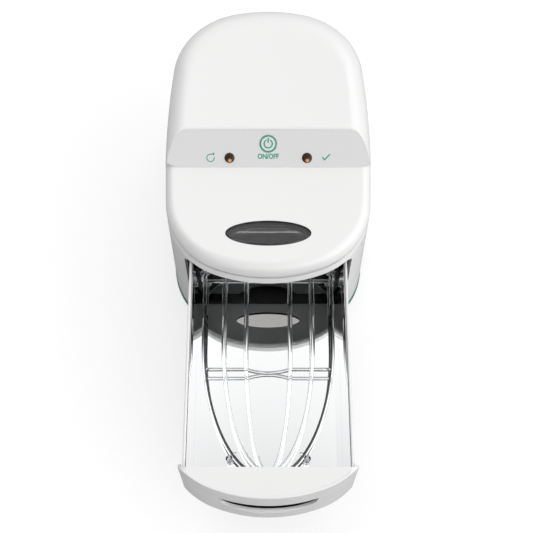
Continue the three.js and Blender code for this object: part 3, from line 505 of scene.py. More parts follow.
def paintedEdgeShade(material, facing, edge, blend, power):  # painted shade: the tint deepens where the surface turns away from view
    nodes, link = material.node_tree.nodes, material.node_tree.links.new
    shader = nodes["Principled BSDF"]
    detail = shader.inputs["Base Color"].links[0].from_socket
    turn = nodes.new("ShaderNodeLayerWeight")
    turn.inputs["Blend"].default_value = blend
    steep = nodes.new("ShaderNodeMath")
    steep.operation = "POWER"
    steep.inputs[1].default_value = power
    link(turn.outputs["Facing"], steep.inputs[0])
    tint = mixColors(nodes)
    tint.inputs["A"].default_value = (*facing, 1)
    tint.inputs["B"].default_value = (*edge, 1)
    link(steep.outputs[0], tint.inputs["Factor"])
    both = mixColors(nodes, "MULTIPLY")
    both.inputs["Factor"].default_value = 1.0
    link(detail, both.inputs["A"])
    link(tint.outputs["Result"], both.inputs["B"])
    link(both.outputs["Result"], shader.inputs["Base Color"])


paintedEdgeShade(finish["clear"], **paintedEdgeShadeTint)
print("materials made")


amber = {
    "tone": (0.040, 0.016, 0.004), "shade": (0.028, 0.011, 0.003), "gloss": (0.12, 0.2),
    "mottle": 120, "grain": 900, "bump": 0.02, "Specular_IOR_Level": 0.3,
}
# the painted glint: its colour, how far from its middle it stays full, and where it has faded out
paintedAmberGlint = {"color": (0.85, 0.40, 0.12, 1), "inner": 0.0004, "outer": 0.0023}


def makeAmber(name, place):  # dark amber with a painted glint: it turns orange round a point low in the dome, where light gathers
    material = surfaceMaterial(name, **amber)
    nodes, link = material.node_tree.nodes, material.node_tree.links.new
    shader = nodes["Principled BSDF"]
    detail = shader.inputs["Base Color"].links[0].from_node
    where = nodes.new("ShaderNodeTexCoord")
    centre = nodes.new("ShaderNodeMapping")
    centre.vector_type = "POINT"
    centre.inputs["Location"].default_value = tuple(-v for v in place)
    link(where.outputs["Object"], centre.inputs["Vector"])
    away = nodes.new("ShaderNodeVectorMath")
    away.operation = "LENGTH"
    link(centre.outputs["Vector"], away.inputs[0])
    glint = nodes.new("ShaderNodeMapRange")
    glint.inputs["From Min"].default_value = paintedAmberGlint["inner"]
    glint.inputs["From Max"].default_value = paintedAmberGlint["outer"]
    glint.inputs["To Min"].default_value = 1.0
    glint.inputs["To Max"].default_value = 0.0
    link(away.outputs["Value"], glint.inputs["Value"])
    mix = mixColors(nodes)
    mix.inputs["B"].default_value = paintedAmberGlint["color"]
    link(glint.outputs["Result"], mix.inputs["Factor"])
    link(detail.outputs["Color"], mix.inputs["A"])
    link(mix.outputs["Result"], shader.inputs["Base Color"])
    return material


# Upper housing

housing = {
    "edgeRows": 12,
    "domeRows": 26,
    "flatWeight": 0.5,
    "filletRows": 8,
    "fillet": 0.8,
    "bandDepth": 2.8,
    "humpBase": 140,
    "humpFront": 90,
    "hair": 0.02,
    "wallRows": (14.4, 15.5, 40, 80, 120, 148, 156.5),
    "mouthHalf": 77.5,
    "mouthBottom": 40,
    "mouthTop": 140,
    "mouthCorner": 17,
    "mouthTopCorner": 10,
    "mouthTopLeast": 0.5,
    "mouthSteps": 12,
    "mouthTopSteps": 8,
    "mouthFront": -50,
    "mouthDepth": 60,
    "openingHalf": 62,
    "openingMargin": 3.8,
    "topInset": 1.5,
    "innerFillet": 0.4,
    "halvings": 40,
}
lip = {
    "low": 140,
    "rows": (142, 144.5),
    "top": 146.4,
    "crease": 0.06,
    "setBack": 1.7,
    "groove": 1.9,
    "edge": 150.0,
    "tuck": 1.1,
    "edgeRows": 9,
    "bulge": 156,
    "bulgeRows": 4,
    "fadeFrom": 100,
    "fadeTo": 112,
}


def mouthShape(inset, steps, lift=0.0):
    half, low = housing["mouthHalf"] - inset, housing["mouthBottom"] + inset
    high = housing["mouthTop"] - inset + lift
    radius = housing["mouthCorner"] - inset
    small = max(housing["mouthTopCorner"] - inset, housing["mouthTopLeast"])
    topSteps = housing["mouthTopSteps"]
    left = arcPoints(-half + radius, low + radius, radius, math.pi, 3 * quarter, steps)
    right = arcPoints(half - radius, low + radius, radius, 3 * quarter, 4 * quarter, steps)
    topRight = arcPoints(half - small, high - small, small, 0, quarter, topSteps)
    topLeft = arcPoints(-half + small, high - small, small, quarter, math.pi, topSteps)
    return [*left, *right, *topRight, *topLeft]


def lipGrow(z):  # the front's own profile: a lip, a parting groove, and a full round edge above it
    if z <= lip["low"]:
        return lean(z)
    if z <= lip["top"]:
        share = (z - lip["low"]) / (lip["top"] - lip["low"])
        return lean(z) - lip["setBack"] * share
    if z <= lip["edge"]:
        return -lip["groove"]
    if z <= lip["bulge"]:
        return -lip["tuck"] * ((lip["bulge"] - z) / (lip["bulge"] - lip["edge"])) ** 2
    rise = (z - lip["bulge"]) / (body["deck"] - lip["bulge"])
    return -body["edge"] * (1 - math.sqrt(max(0, 1 - rise**2)))


def edgeGrow(z):  # the plain edge of the sides and back
    rise = max(0, z - deckEdge) / body["edge"]
    return lean(min(z, deckEdge)) - body["edge"] * (1 - math.sqrt(max(0, 1 - rise**2)))


def deckForm(inset, bottom):
    rings = [ring(lean(z) - inset, z) for z in (bottom, *housing["wallRows"][1:]) if z >= bottom]
    edge = body["edge"] - inset
    for turn in rounding(housing["edgeRows"] + 1):
        rings.append(ring(-inset - edge * (1 - math.cos(turn)), deckEdge + edge * math.sin(turn)))
    rings.append(ring(-inset - edge - housing["topInset"], body["deck"] - inset))
    return newPiece("deckForm", *loft(rings))


def deckSkin(bottom):  # the deck's outside, with the lip's profile round its front
    away = (outline(0)[:, 1] - lip["fadeFrom"]) / (lip["fadeTo"] - lip["fadeFrom"])
    away = np.clip(away, 0, 1)
    fade = away * away * (3 - 2 * away)
    heights = [bottom, *housing["wallRows"][1:-2], lip["low"], *lip["rows"], lip["top"]]
    heights += [lip["top"] + lip["crease"], lip["edge"]]
    heights += [*np.linspace(lip["edge"] + lip["crease"], lip["bulge"], lip["edgeRows"])]
    heights += [*np.linspace(lip["bulge"], deckEdge, lip["bulgeRows"])[1:-1]]
    heights += [deckEdge + body["edge"] * math.sin(turn)
                for turn in rounding(housing["edgeRows"] + 1)]
    rings = [ring(lipGrow(z) * (1 - fade) + edgeGrow(z) * fade, z) for z in heights]
    rings.append(ring(-body["edge"] - housing["topInset"], body["deck"]))
    return newPiece("deckSkin", *loft(rings))


def bandPlane(y, drop=0.0):
    return body["deck"] + (y - body["bandFoot"]) * math.tan(bandTilt) - drop


def humpColumn(end, inset, drop, fillet):
    # One ray from the middle of the band's foot to a point of the outline: the places where the
    # dome, the fillet and the band's face meet, as plan point and height.
    centre = np.array([0, body["bandFoot"]])
    share, rise = body["shoulderShare"], body["hump"] - inset - deckEdge

    def spot(w):  # w runs up the dome's shoulder to 1 and then in along its flat top
        if w <= 1:
            turn = w * quarter
            size, height = 1 - share * (1 - math.cos(turn)), deckEdge + rise * math.sin(turn)
        else:
            size = (1 - share) * (1 - (w - 1) / housing["flatWeight"])
            height = deckEdge + rise
        return centre + (end - centre) * size, height

    def above(w):
        point, height = spot(w)
        return bandPlane(point[1], drop) - height

    def where(level):
        low, high = 0.0, 1.0 + housing["flatWeight"]
        if above(low) <= level:
            return low
        for _ in range(housing["halvings"]):
            middle = (low + high) / 2
            low, high = (middle, high) if above(middle) > level else (low, middle)
        return low

    start = where(fillet)
    ws = [start * i / housing["domeRows"] for i in range(housing["domeRows"] + 1)]
    rows = housing["filletRows"]
    ws += [where(fillet * (1 - 2 * i / rows)) for i in range(1, rows + 1)]
    column = []
    for w in ws:
        point, height = spot(w)
        plane = bandPlane(point[1], drop)
        blend = max(fillet - abs(plane - height), 0) / fillet
        column.append((*point, min(plane, height) - blend**2 * fillet / 4))
    return column


def humpForm(inset, drop, recess, fillet):
    flat = outline(-inset - housing["hair"])
    base = outline(-inset - wall / 2)
    kept = np.nonzero(flat[:, 1] >= housing["humpFront"])[0]
    columns = []
    for i in kept:
        column = humpColumn(flat[i], inset, drop, fillet)
        x, y, z = column[-1]
        sunk = (x, y + math.sin(bandTilt) * recess, z - math.cos(bandTilt) * recess)
        columns.append([(*base[i], housing["humpBase"]), *column, sunk])
    count = len(columns[0])
    points = [point for column in columns for point in column]
    foot = len(points)
    middleY = body["bandFoot"] + math.sin(bandTilt) * recess
    points.append((0, middleY, bandPlane(middleY, drop + recess / math.cos(bandTilt))))
    points.append((0, body["bandFoot"], housing["humpBase"]))
    faces = []
    for c in range(len(columns) - 1):
        for r in range(count - 1):
            a = c * count + r
            faces.append((a, a + count, a + count + 1, a + 1))
        faces.append((c * count + count - 1, (c + 1) * count + count - 1, foot))
        faces.append(((c + 1) * count, c * count, foot + 1))
    last = (len(columns) - 1) * count
    faces.append((foot + 1, *range(count), foot))
    faces.append((foot, *range(last + count - 1, last - 1, -1), foot + 1))
    return newPiece("humpForm", points, faces)


def bandFront(shift=0.0):  # all that lies before the band's lower edge, with its turned-back ends
    reach = body["halfWidth"] + body["beyond"]
    straight = body["halfWidth"] - body["bandCorner"]
    foot = body["bandFoot"] + shift
    ends = foot + body["bandSetback"] * (reach - straight) / body["bandCorner"]
    shape = [(-reach, -reach), (reach, -reach), (reach, ends), (straight, foot),
             (-straight, foot), (-reach, ends)]
    return newPiece("bandFront", *upright(shape, (0, 2 * body["hump"])))


def bodyForm(deck, inset, drop, recess, fillet, shift):
    hump = carve(humpForm(inset, drop, recess, fillet), "DIFFERENCE", bandFront(shift))
    return carve(deck, "UNION", hump)


window = {
    "halfWidth": 37.4,
    "halfDepth": 11.3,
    "back": 36.8,
    "rim": 0.6,
    "ledge": 2.0,
    "flange": 3.0,
    "flangeThickness": 1.4,
    "round": 0.35,
    "corner": 0.3,
    "lensWall": 0.8,
    "lensRound": 0.7,
    "lensRows": 5,
    "lensCrown": ((-1.5, 0.08), (-5, 0.03), (-10, 0)),
    "sides": 128,
}
inlet = {"halfWidth": 11, "halfHeight": 7, "height": 26, "depth": 24}
# how far each hole's cutter runs past the wall that it goes through, below and above
cuts = {"window": (12, 6), "band": (6, 1), "inlet": 8}


def onGroove(face):  # painted shade: the floor of the parting groove takes the grey shade finish, for the shade of the edge above it
    quarterGap = (lip["edge"] - lip["top"]) / 4
    y, z = face.center.y / mm - frontY, face.center.z / mm
    return y < lip["fadeFrom"] and lip["top"] + quarterGap < z < lip["edge"] - quarterGap


def makeHousing():
    depth = housing["bandDepth"]
    shell = bodyForm(deckSkin(body["bottom"]), 0, 0, depth, housing["fillet"], 0)
    hollow = deckForm(wall, body["bottom"] - past)
    drop = (depth + wall) / math.cos(bandTilt)
    inner = bodyForm(hollow, wall, drop, 0, housing["innerFillet"], wall)
    mouth = newPiece("mouth", *across(
        mouthShape(0, housing["mouthSteps"]), (housing["mouthFront"], housing["mouthDepth"])))
    rim, (below, above) = window["rim"] + 2 * seam, cuts["window"]
    hole = newPiece("windowHole", *upright(
        oval(0, window["back"], window["halfWidth"] + rim, window["halfDepth"] + rim),
        (body["deck"] - below, body["deck"] + above)))
    half, margin, (below, above) = housing["openingHalf"], housing["openingMargin"], cuts["band"]
    points, faces = boxOf(
        (-half, half), (margin, bandLength - margin), (-depth - wall - below, above))
    slot = newPiece("bandOpening", onBand(points), faces)
    w, h = inlet["halfWidth"] + seam, inlet["halfHeight"] + seam
    socket = newPiece("inletHole", *boxOf(
        (-w, w), (body["length"] - inlet["depth"], body["length"] + cuts["inlet"]),
        (inlet["height"] - h, inlet["height"] + h)))
    carve(shell, "DIFFERENCE", inner, mouth, hole, slot, socket)
    shell.name = "housingShell"
    dress(shell, "cabinet", finish["white"], "white_plastic", "upper_housing")
    # painted shade: the groove's floor is grey for the shade under the deck's edge
    paintFaces(shell, finish["dark"], onGroove)


makeHousing()
print("housing made")


# Control band: panel, cap, lights and printed signs

band = {
    "thickness": 2.5,
    "gap": 0.1,
    "edge": 0.12,
    "capRadius": 7.9,
    "capSlope": 21.8,
    "capEdge": 0.15,
    "capFlat": 0.6,
    "capFlange": 1.3,
    "capStem": 2.2,
    "capStemEnd": -4.55,
    "capSides": 64,
    "lightRadius": 4.4,
    "lightSlope": 8.9,
    "lightAside": 35.7,
    "lightRise": 1.6,
    "lightWall": -0.4,
    "lightSink": 8.0,
    "lightSides": 48,
    "lightRows": 12,
    "glintAside": 0.3,
    "glintDown": 2.5,
    "glintRise": 0.75,
    "kept": 6,
    "middle": 8.0,
    "past": 3,
    "holeSides": 56,
    "sharp": 35,
}


def panelShape():
    # the band's face in its own frame, drawn in from where the housing's fillet ends
    flat = outline(-housing["hair"])
    kept = np.nonzero(flat[:, 1] >= body["bandFoot"] - band["kept"])[0]
    upper = np.array([humpColumn(flat[i], 0, 0, housing["fillet"])[-1][:2] for i in kept])
    middle = np.array([0, body["bandFoot"] + band["middle"]])
    away = upper - middle
    upper = upper - away / np.linalg.norm(away, axis=1)[:, None] * band["gap"]
    return [(x, (y - body["bandFoot"]) / math.cos(bandTilt)) for x, y in upper]


def makePanel():
    shape = panelShape()
    points, faces = loft([[(u, v, w) for u, v in shape] for w in (-band["thickness"], 0)])
    panel = newPiece("controlPanel", onBand(points), faces)
    through = (-band["thickness"] - band["past"], band["past"])
    tools = [bandFront(band["gap"]), deckForm(-band["gap"], body["bottom"])]
    holes = [(0, band["capSlope"], band["capRadius"])]
    holes += [(s * band["lightAside"], band["lightSlope"], band["lightRadius"]) for s in (-1, 1)]
    for u, v, radius in holes:
        hole = oval(u, v, radius + seam, radius + seam, band["holeSides"])
        points, faces = upright(hole, through)
        tools.append(newPiece("hole", onBand(points), faces))
    carve(panel, "DIFFERENCE", *tools)
    soften(panel, band["edge"], band["sharp"])
    dress(panel, "cabinet", finish["band"], "grey_plastic", "control_panel")


def makeCap():
    radius, edge, flange = band["capRadius"], band["capEdge"], band["capFlange"]
    top, under = -band["thickness"] - seam, -band["thickness"] - seam - flange
    stem, stemEnd = band["capStem"], band["capStemEnd"]
    profile = [(0, stemEnd), (stem, stemEnd), (stem, under), (radius + flange, under),
               (radius + flange, top), (radius, top), (radius, -edge), (radius - edge, 0),
               (radius - band["capFlat"], 0), (0, 0)]
    points, faces = turned(profile, 0, band["capSlope"], band["capSides"])
    cap = newPiece("powerCap", onBand(points), faces)
    dress(cap, "button", finish["band"], "grey_plastic", "power_button")


def makeLights():
    for side, name, node in ((-1, "cycleLight", "cycle_light"), (1, "readyLight", "ready_light")):
        radius, rise, sink = band["lightRadius"], band["lightRise"], band["lightSink"]
        u, v = side * band["lightAside"], band["lightSlope"]
        profile = [(0, -sink), (radius, -sink), (radius, band["lightWall"])]
        profile += [(radius * math.cos(t), rise * math.sin(t)) for t in rounding(band["lightRows"])]
        points, faces = turned(profile, u, v, band["lightSides"])
        light = newPiece(name, onBand(points), faces)
        # the painted glint's middle, low on the dome
        glint = [(u + band["glintAside"], v - band["glintDown"], rise * band["glintRise"])]
        place = (onBand(glint)[0] + (0, frontY, 0)) * mm
        dress(light, "cabinet", makeAmber(name + "Amber", place), "amber_plastic", node)


# What is printed on the band, as u and v from each sign's middle: a ring and a power sign on
# the cap, ON/OFF below it, a loop with an arrow head at the left, a tick at the right.
signs = {
    "low": 0.01,
    "high": 0.07,
    "ring": (6.5, 7.72),
    "powerRing": (3.15, 4.3),
    "powerGap": math.radians(27),
    "barHalf": 0.62,
    "bar": (0.9, 5.3),
    "aside": 17.5,
    "loop": (3.0, 3.8),
    "loopTurns": (math.radians(65), math.radians(375)),
    "arrow": ((1.1, 3.6), (3.3, 5.0), (3.5, 2.1)),
    "steps": (48, 56),
    "tick": ((-1.2, -2.5), (4.1, 3.0), (3.4, 3.8), (-1.2, -0.9), (-3.0, 1.1), (-3.8, 0.3)),
    "words": "ON/OFF",
    "wordsSize": (19.4, 4.9),
    "wordsSlope": 10.4,
    "wordsBolder": 0.032,
}


def inkShape(name, outlines, rides):
    # flat printed shapes: each outline is a closed list of u and v
    pieces = []
    for shape in outlines:
        points, faces = upright(shape, (signs["low"], signs["high"]))
        pieces.append(newPiece(name + "Part", onBand(points), faces))
    dress(gather(name, *pieces), rides, finish["ink"], "teal_plastic")


def annulus(u, v, inner, outer, start, end, steps):
    return (arcPoints(u, v, outer, start, end, steps)
            + arcPoints(u, v, inner, end, start, steps))


def makeSigns():
    v, gap, (steps, powerSteps) = band["capSlope"], signs["powerGap"], signs["steps"]
    halves = [annulus(0, v, *signs["ring"], turn, turn + math.pi, steps) for turn in (0, math.pi)]
    start = quarter + gap
    end = start + 2 * (math.pi - gap)
    broken = annulus(0, v, *signs["powerRing"], start, end, powerSteps)
    half, (low, high) = signs["barHalf"], signs["bar"]
    bar = [(-half, v + low), (half, v + low), (half, v + high), (-half, v + high)]
    inkShape("powerSign", [*halves, broken, bar], "button")

    u, v = band["lightAside"] + signs["aside"], band["lightSlope"]
    loop = annulus(-u, v, *signs["loop"], *signs["loopTurns"], steps)
    inkShape("cycleSign", [loop, [(a - u, b + v) for a, b in signs["arrow"]]], "cabinet")
    inkShape("readySign", [[(a + u, b + v) for a, b in signs["tick"]]], "cabinet")


def makeWords():
    words = bpy.data.curves.new("switchWords", "FONT")
    words.body = signs["words"]
    words.align_x = "CENTER"
    words.size = 1.0
    words.resolution_u = 6
    words.extrude = 0.5
    words.offset = signs["wordsBolder"]
    written = addObject("switchWords", words)
    graph = bpy.context.evaluated_depsgraph_get()
    mesh = bpy.data.meshes.new_from_object(written.evaluated_get(graph))
    bpy.data.objects.remove(written)
    spots = np.array([vertex.co for vertex in mesh.vertices])
    low, high = spots.min(0), spots.max(0)
    flat = (spots - (low + high) / 2)[:, :2] * signs["wordsSize"] / (high - low)[:2]
    heights = np.where(spots[:, 2] > 0, signs["high"], signs["low"])
    placed = onBand(np.column_stack([flat[:, 0], flat[:, 1] + signs["wordsSlope"], heights]))
    sign = newPiece("switchSign", placed, [list(face.vertices) for face in mesh.polygons])
    bpy.data.meshes.remove(mesh)
    dress(sign, "cabinet", finish["ink"], "teal_plastic")


makePanel()
makeCap()
makeLights()
makeSigns()
makeWords()
print("control band made")


# Window


def ovalRing(grow, height):
    half, deep = window["halfWidth"] + grow, window["halfDepth"] + grow
    return [(x, y, height) for x, y in oval(0, window["back"], half, deep, window["sides"])]


def makeWindow():
    top, seat = body["deck"], body["deck"] - wall - seam
    low, outer = seat - window["flangeThickness"], window["rim"] + seam
    ledge, flange = -window["ledge"], window["rim"] + window["flange"]
    soft = window["round"]
    corner = soft * window["corner"]
    profile = [(ledge, low), (flange, low), (flange, seat), (outer, seat), (outer, top - soft),
               (outer - corner, top - corner), (outer - soft, top), (seam + soft, top),
               (seam + corner, top - corner), (seam, top - soft), (seam, seat), (ledge, seat)]
    gasket = newPiece("windowGasket", *loft([ovalRing(g, h) for g, h in profile], loop=True))
    dress(gasket, "cabinet", finish["black"], "black_plastic", "window_gasket")
    shoulder, soft = top - window["lensWall"], window["lensRound"]
    rings = [ovalRing(0, seat + seam), ovalRing(0, shoulder)]
    for turn in rounding(window["lensRows"])[1:]:
        rings.append(ovalRing(-soft * (1 - math.cos(turn)), shoulder + soft * math.sin(turn)))
    rings += [ovalRing(grow, top - drop) for grow, drop in window["lensCrown"]]
    lens = newPiece("windowLens", *loft(rings))
    dress(lens, "cabinet", finish["smoked"], "smoked_plastic", "window_lens")


makeWindow()
print("window made")


# Base, trim and feet

base = {
    "foot": 3,
    "top": 6.5,
    "tuck": 4,
    "ribHeight": 12.5,
    "ribWidth": 2,
    "edge": 0.4,
    "trimWidth": 6.5,
    "trimProud": 0.6,
    "trimRound": 0.5,
    "tuckRows": 7,
    "sink": (3.9, 2.5, 40),
    "recess": (8.3, 1.2, 48),
}
corners = {"columnAside": 63, "columnFront": 52, "columnBack": 218, "footAside": 60,
           "footFront": 32, "footBack": 250}
rubberFoot = {"sole": ((0, 0.25), (4.6, 0.25), (5.0, 0), (6.6, 0)), "radius": 8.0, "round": 1.2,
              "height": 3.9, "rows": 6, "sides": 48}
# a flat pan head and its shank, drawn head down, and the arms of its cross recess
screw = {"head": ((0, 3.0), (2.9, 3.0), (3.4, 3.25), (3.6, 3.7), (3.6, 5.2), (1.7, 5.2),
                  (1.7, 36.3), (0, 36.3)),
         "cross": (1.9, 0.42), "crossHeights": (2, 4.4), "turn": 2.2, "seed": 7}


def makeTrim():
    low, high = base["top"] + seam, body["bottom"] - seam
    soft, proud, width = base["trimRound"], base["trimProud"], base["trimWidth"]
    rows = [(width, low), (soft - proud, low), (-proud, low + soft), (-proud, high - soft),
            (soft - proud, high), (width, high)]
    rings = [ring(lean(z) - inset, z) for inset, z in rows]
    trim = newPiece("trimRing", *loft(rings, loop=True))
    dress(trim, "cabinet", finish["teal"], "teal_plastic", "trim_ring")


def makeBase():
    foot, top, tuck = base["foot"], base["top"], base["tuck"]
    rings = []
    for turn in rounding(base["tuckRows"]):
        height = foot + (top - base["edge"] - foot) * (1 - math.cos(turn))
        rings.append(ring(lean(top) - seam - tuck * (1 - math.sin(turn)), height))
    rings.append(ring(lean(top) - seam, top))
    pan = newPiece("basePan", *loft(rings))
    tools = [newPiece("hollow", *leaning(tuck + 2 * wall, (foot + wall, top + past)))]
    for side in (-1, 1):
        for kind, at in (("sink", "column"), ("recess", "foot")):
            radius, depth, sides = base[kind]
            for y in (corners[at + "Front"], corners[at + "Back"]):
                shape = oval(side * corners[at + "Aside"], y, radius, radius, sides)
                tools.append(newPiece(kind, *upright(shape, (0, foot + depth))))
    carve(pan, "DIFFERENCE", *tools)
    outer = base["trimWidth"] + seam
    inner, low, high = outer + base["ribWidth"], top - wall, top + base["ribHeight"]
    rows = ((outer, low), (outer, high), (inner, high), (inner, low))
    rib = newPiece("rib", *loft([ring(lean(z) - inset, z) for inset, z in rows], loop=True))
    pan = gather("basePan", pan, rib)
    dress(pan, "cabinet", finish["white"], "white_plastic", "base_plate")


def makeFeet():
    radius, soft, height = rubberFoot["radius"], rubberFoot["round"], rubberFoot["height"]
    profile = [*rubberFoot["sole"]]
    profile += [(radius - soft + soft * math.sin(t), soft - soft * math.cos(t))
                for t in rounding(rubberFoot["rows"])]
    profile += [(radius, height), (0, height)]
    for side, hand in ((-1, "left"), (1, "right")):
        for y, place in ((corners["footFront"], "front"), (corners["footBack"], "back")):
            points, faces = turned(profile, side * corners["footAside"], y, rubberFoot["sides"])
            foot = newPiece("rubberFoot_" + place + "_" + hand, points, faces)
            dress(foot, "cabinet", finish["rubber"], "rubber", "foot_" + place + "_" + hand)


def endTree(tree, geometry, material):  # plain geometry in its material leaves the tree
    add, link = tree.nodes.new, tree.links.new
    realize, paint = add("GeometryNodeRealizeInstances"), add("GeometryNodeSetMaterial")
    paint.inputs["Material"].default_value = material
    link(geometry, realize.inputs["Geometry"])
    link(realize.outputs["Geometry"], paint.inputs["Geometry"])
    link(paint.outputs["Geometry"], add("NodeGroupOutput").inputs["Geometry"])
    return tree


def screwTree(shape):  # a screw on each point of the given mesh, each with its own turn
    tree = newTree("baseScrews", "GeometryNodeTree", [
        ("Geometry", "Geometry"), ("Size", "Float", 1.0), ("Turn", "Float", 0.0),
    ], [("Geometry", "Geometry")])
    add, link = tree.nodes.new, tree.links.new
    given = add("NodeGroupInput")
    info = add("GeometryNodeObjectInfo")
    info.inputs["Object"].default_value = shape
    random = add("FunctionNodeRandomValue")
    random.data_type = "FLOAT"
    random.inputs["Seed"].default_value = screw["seed"]
    link(given.outputs["Turn"], random.inputs[3])
    aim = add("ShaderNodeCombineXYZ")
    link(random.outputs[1], aim.inputs["Z"])
    spread = add("GeometryNodeInstanceOnPoints")
    link(given.outputs["Geometry"], spread.inputs["Points"])
    link(info.outputs["Geometry"], spread.inputs["Instance"])
    link(aim.outputs[0], spread.inputs["Rotation"])
    link(given.outputs["Size"], spread.inputs["Scale"])
    return endTree(tree, spread.outputs["Instances"], finish["steel"])


def applyTree(piece, tree, **values):
    modifier = piece.modifiers.new("nodes", "NODES")
    modifier.node_group = tree
    for socket in tree.interface.items_tree:
        if socket.in_out == "INPUT" and socket.name in values:
            modifier[socket.identifier] = values[socket.name]
    return bake(piece)


def makeScrews():
    shape = newPiece("screwShape", *turned(screw["head"]), slide=frontY)
    long, short = [(-reach, reach) for reach in screw["cross"]]
    bars = [boxOf(xs, ys, screw["crossHeights"]) for xs, ys in ((long, short), (short, long))]
    carve(shape, "DIFFERENCE", *[newPiece("bar", *bar, slide=frontY) for bar in bars])
    shape.data.shade_smooth()
    spots = [(side * corners["columnAside"], y, 0) for side in (-1, 1)
             for y in (corners["columnFront"], corners["columnBack"])]
    screws = newPiece("baseScrews", spots, [], clean=False)
    applyTree(screws, screwTree(shape), Size=1.0, Turn=screw["turn"])
    dropPiece(shape)
    nodes = ["base_screw_" + place + "_" + hand for place in ("front", "back")
             for hand in ("left", "right")]
    dress(screws, "cabinet", finish["steel"], "steel", *nodes)


makeTrim()
makeBase()
makeFeet()
makeScrews()
print("base made")


# Drawer front

front = {
    "depth": 26,
    "ear": 3,
    "earGap": 1,
    "skin": 2.4,
    "lower": 16,
    "lowerRows": 14,
    "upper": 0.7,
    "upperRows": 7,
    "hollowUpper": 0.6,
    "rowGap": 2,
    "rows": (75, 95, 115),
    "line": (2.2, 1.5),
    "lineLead": 0.3,
    "lineEdge": 0.15,
    "lineDepth": 0.45,
    "rimWidth": 1.0,
    "rimRise": 0.3,
    "rimInner": 2,
    "ahead": -12,
    "lift": 0.05,
    "boxHalf": 72.5,
    "steps": 16,
}
pocket = {
    "top": 109,
    "half": 43,
    "drop": 24,
    "power": 4,
    "scoopHalf": 48,
    "scoopDrop": 34,
    "scoopDepth": 2.6,
    "scoopRows": 17,
    "throat": 1.0,
    "depth": 14,
    "low": 62,
    "turn": math.radians(18.2),
    "turnSteps": 25,
    "outside": -8,
    "skin": 1.8,
    "skinInset": 0.1,
    "through": 1,
    "ends": 0.995,
    "steps": 49,
    "faceEdge": 0.05,
}


def frontForm(inset, upper):
    radius = front["lower"] - inset
    low = housing["mouthBottom"] + runningGap + inset
    high = housing["mouthTop"] - runningGap - inset
    rings = []
    for turn in rounding(front["lowerRows"]):
        height = low + radius * (1 - math.cos(turn))
        rings.append(ring(lean(height) - inset - radius * (1 - math.sin(turn)), height))
    for height in (low + radius + front["rowGap"], *front["rows"]):
        rings.append(ring(lean(height) - inset, height))
    (below, above), edge, sunk = front["line"], front["lineEdge"], front["lineDepth"]
    for drop, depth in ((below + front["lineLead"], 0), (below, 0), (below - edge, sunk),
                        (above + edge, sunk), (above, 0)):
        rings.append(ring(lean(high - drop) - inset - depth, high - drop))
    for turn in rounding(front["upperRows"]):
        height = high - upper + upper * math.sin(turn)
        rings.append(ring(lean(height) - inset - upper * (1 - math.cos(turn)), height))
    inward = inset + upper + front["rimWidth"]
    rise = front["rimRise"]
    for grow, drop in ((0, 0), (rise, rise), (front["rimInner"], rise)):
        rings.append(ring(lean(high) - inward - grow, high - drop))
    return newPiece("frontForm", *loft(rings), slide=travel)


def onFront(turn, depth, height):  # a place by its turn round the front's arc and its depth in it
    reach = body["frontRadius"] - depth
    return reach * math.sin(turn), body["frontRadius"] - reach * math.cos(turn), height


def frontTurn(x):
    return math.asin(x / body["frontRadius"])


def pocketForm(name, rings):
    return newPiece(name, *loft(rings), slide=travel)


def pocketSlot():  # the opening under the upper lip, through the front's wall
    top, outside, power = pocket["top"], pocket["outside"], pocket["power"]
    inside = pocket["throat"] + pocket["through"]
    rings = []
    for share in np.linspace(-pocket["ends"], pocket["ends"], pocket["steps"]):
        low = top - pocket["drop"] * (1 - abs(share) ** power) ** (1 / power)
        turn = frontTurn(share * pocket["half"])
        shape = ((outside, low), (inside, low), (inside, top), (outside, top))
        rings.append([onFront(turn, depth, z) for depth, z in shape])
    return pocketForm("pocketSlot", rings)


def pocketScoop():  # a hollow of the face that eases out below the opening
    top, fall = pocket["top"], pocket["scoopDrop"]
    rings = []
    for share in np.linspace(-pocket["ends"], pocket["ends"], pocket["steps"]):
        drop = fall * math.sqrt(1 - share**2)
        turn = frontTurn(share * pocket["scoopHalf"])
        points = []
        for z in top - drop * np.linspace(0, 1, pocket["scoopRows"]):
            depth = pocket["scoopDepth"] * (1 - share**2 - ((top - z) / fall) ** 2)
            points.append(onFront(turn, depth - lean(z), z))
        points.append(onFront(turn, pocket["outside"], top - drop))
        points.append(onFront(turn, pocket["outside"], top))
        rings.append(points)
    return pocketForm("pocketScoop", rings)


def pocketRoom(grow):  # the room behind the front's wall that the fingers reach into
    near, far = pocket["throat"] - grow, pocket["depth"] + grow
    low, high = pocket["low"] - grow, pocket["top"] + grow
    shape = ((near, low), (far, low), (far, high), (near, high))
    reach = pocket["turn"] + grow / body["frontRadius"]
    turns = np.linspace(-reach, reach, pocket["turnSteps"])
    return pocketForm("pocketRoom", [[onFront(turn, *spot) for spot in shape] for turn in turns])


def inRoom(face):  # a face of the pocket's room, painted black for the shade deep in the pocket
    edge = pocket["faceEdge"]
    x, y, z = face.center / mm
    ahead = body["frontRadius"] - (y - frontY + travel)
    depth = body["frontRadius"] - math.hypot(x, ahead)
    return (pocket["throat"] - edge < depth < pocket["depth"] + edge
            and pocket["low"] - edge < z < pocket["top"] + edge
            and abs(x) < ahead * math.tan(pocket["turn"]) + edge)


def mouthPrism(inset, ys, lift=0.0):  # what passes through the mouth, drawn in the drawer
    return across(mouthShape(inset, front["steps"], lift), ys)


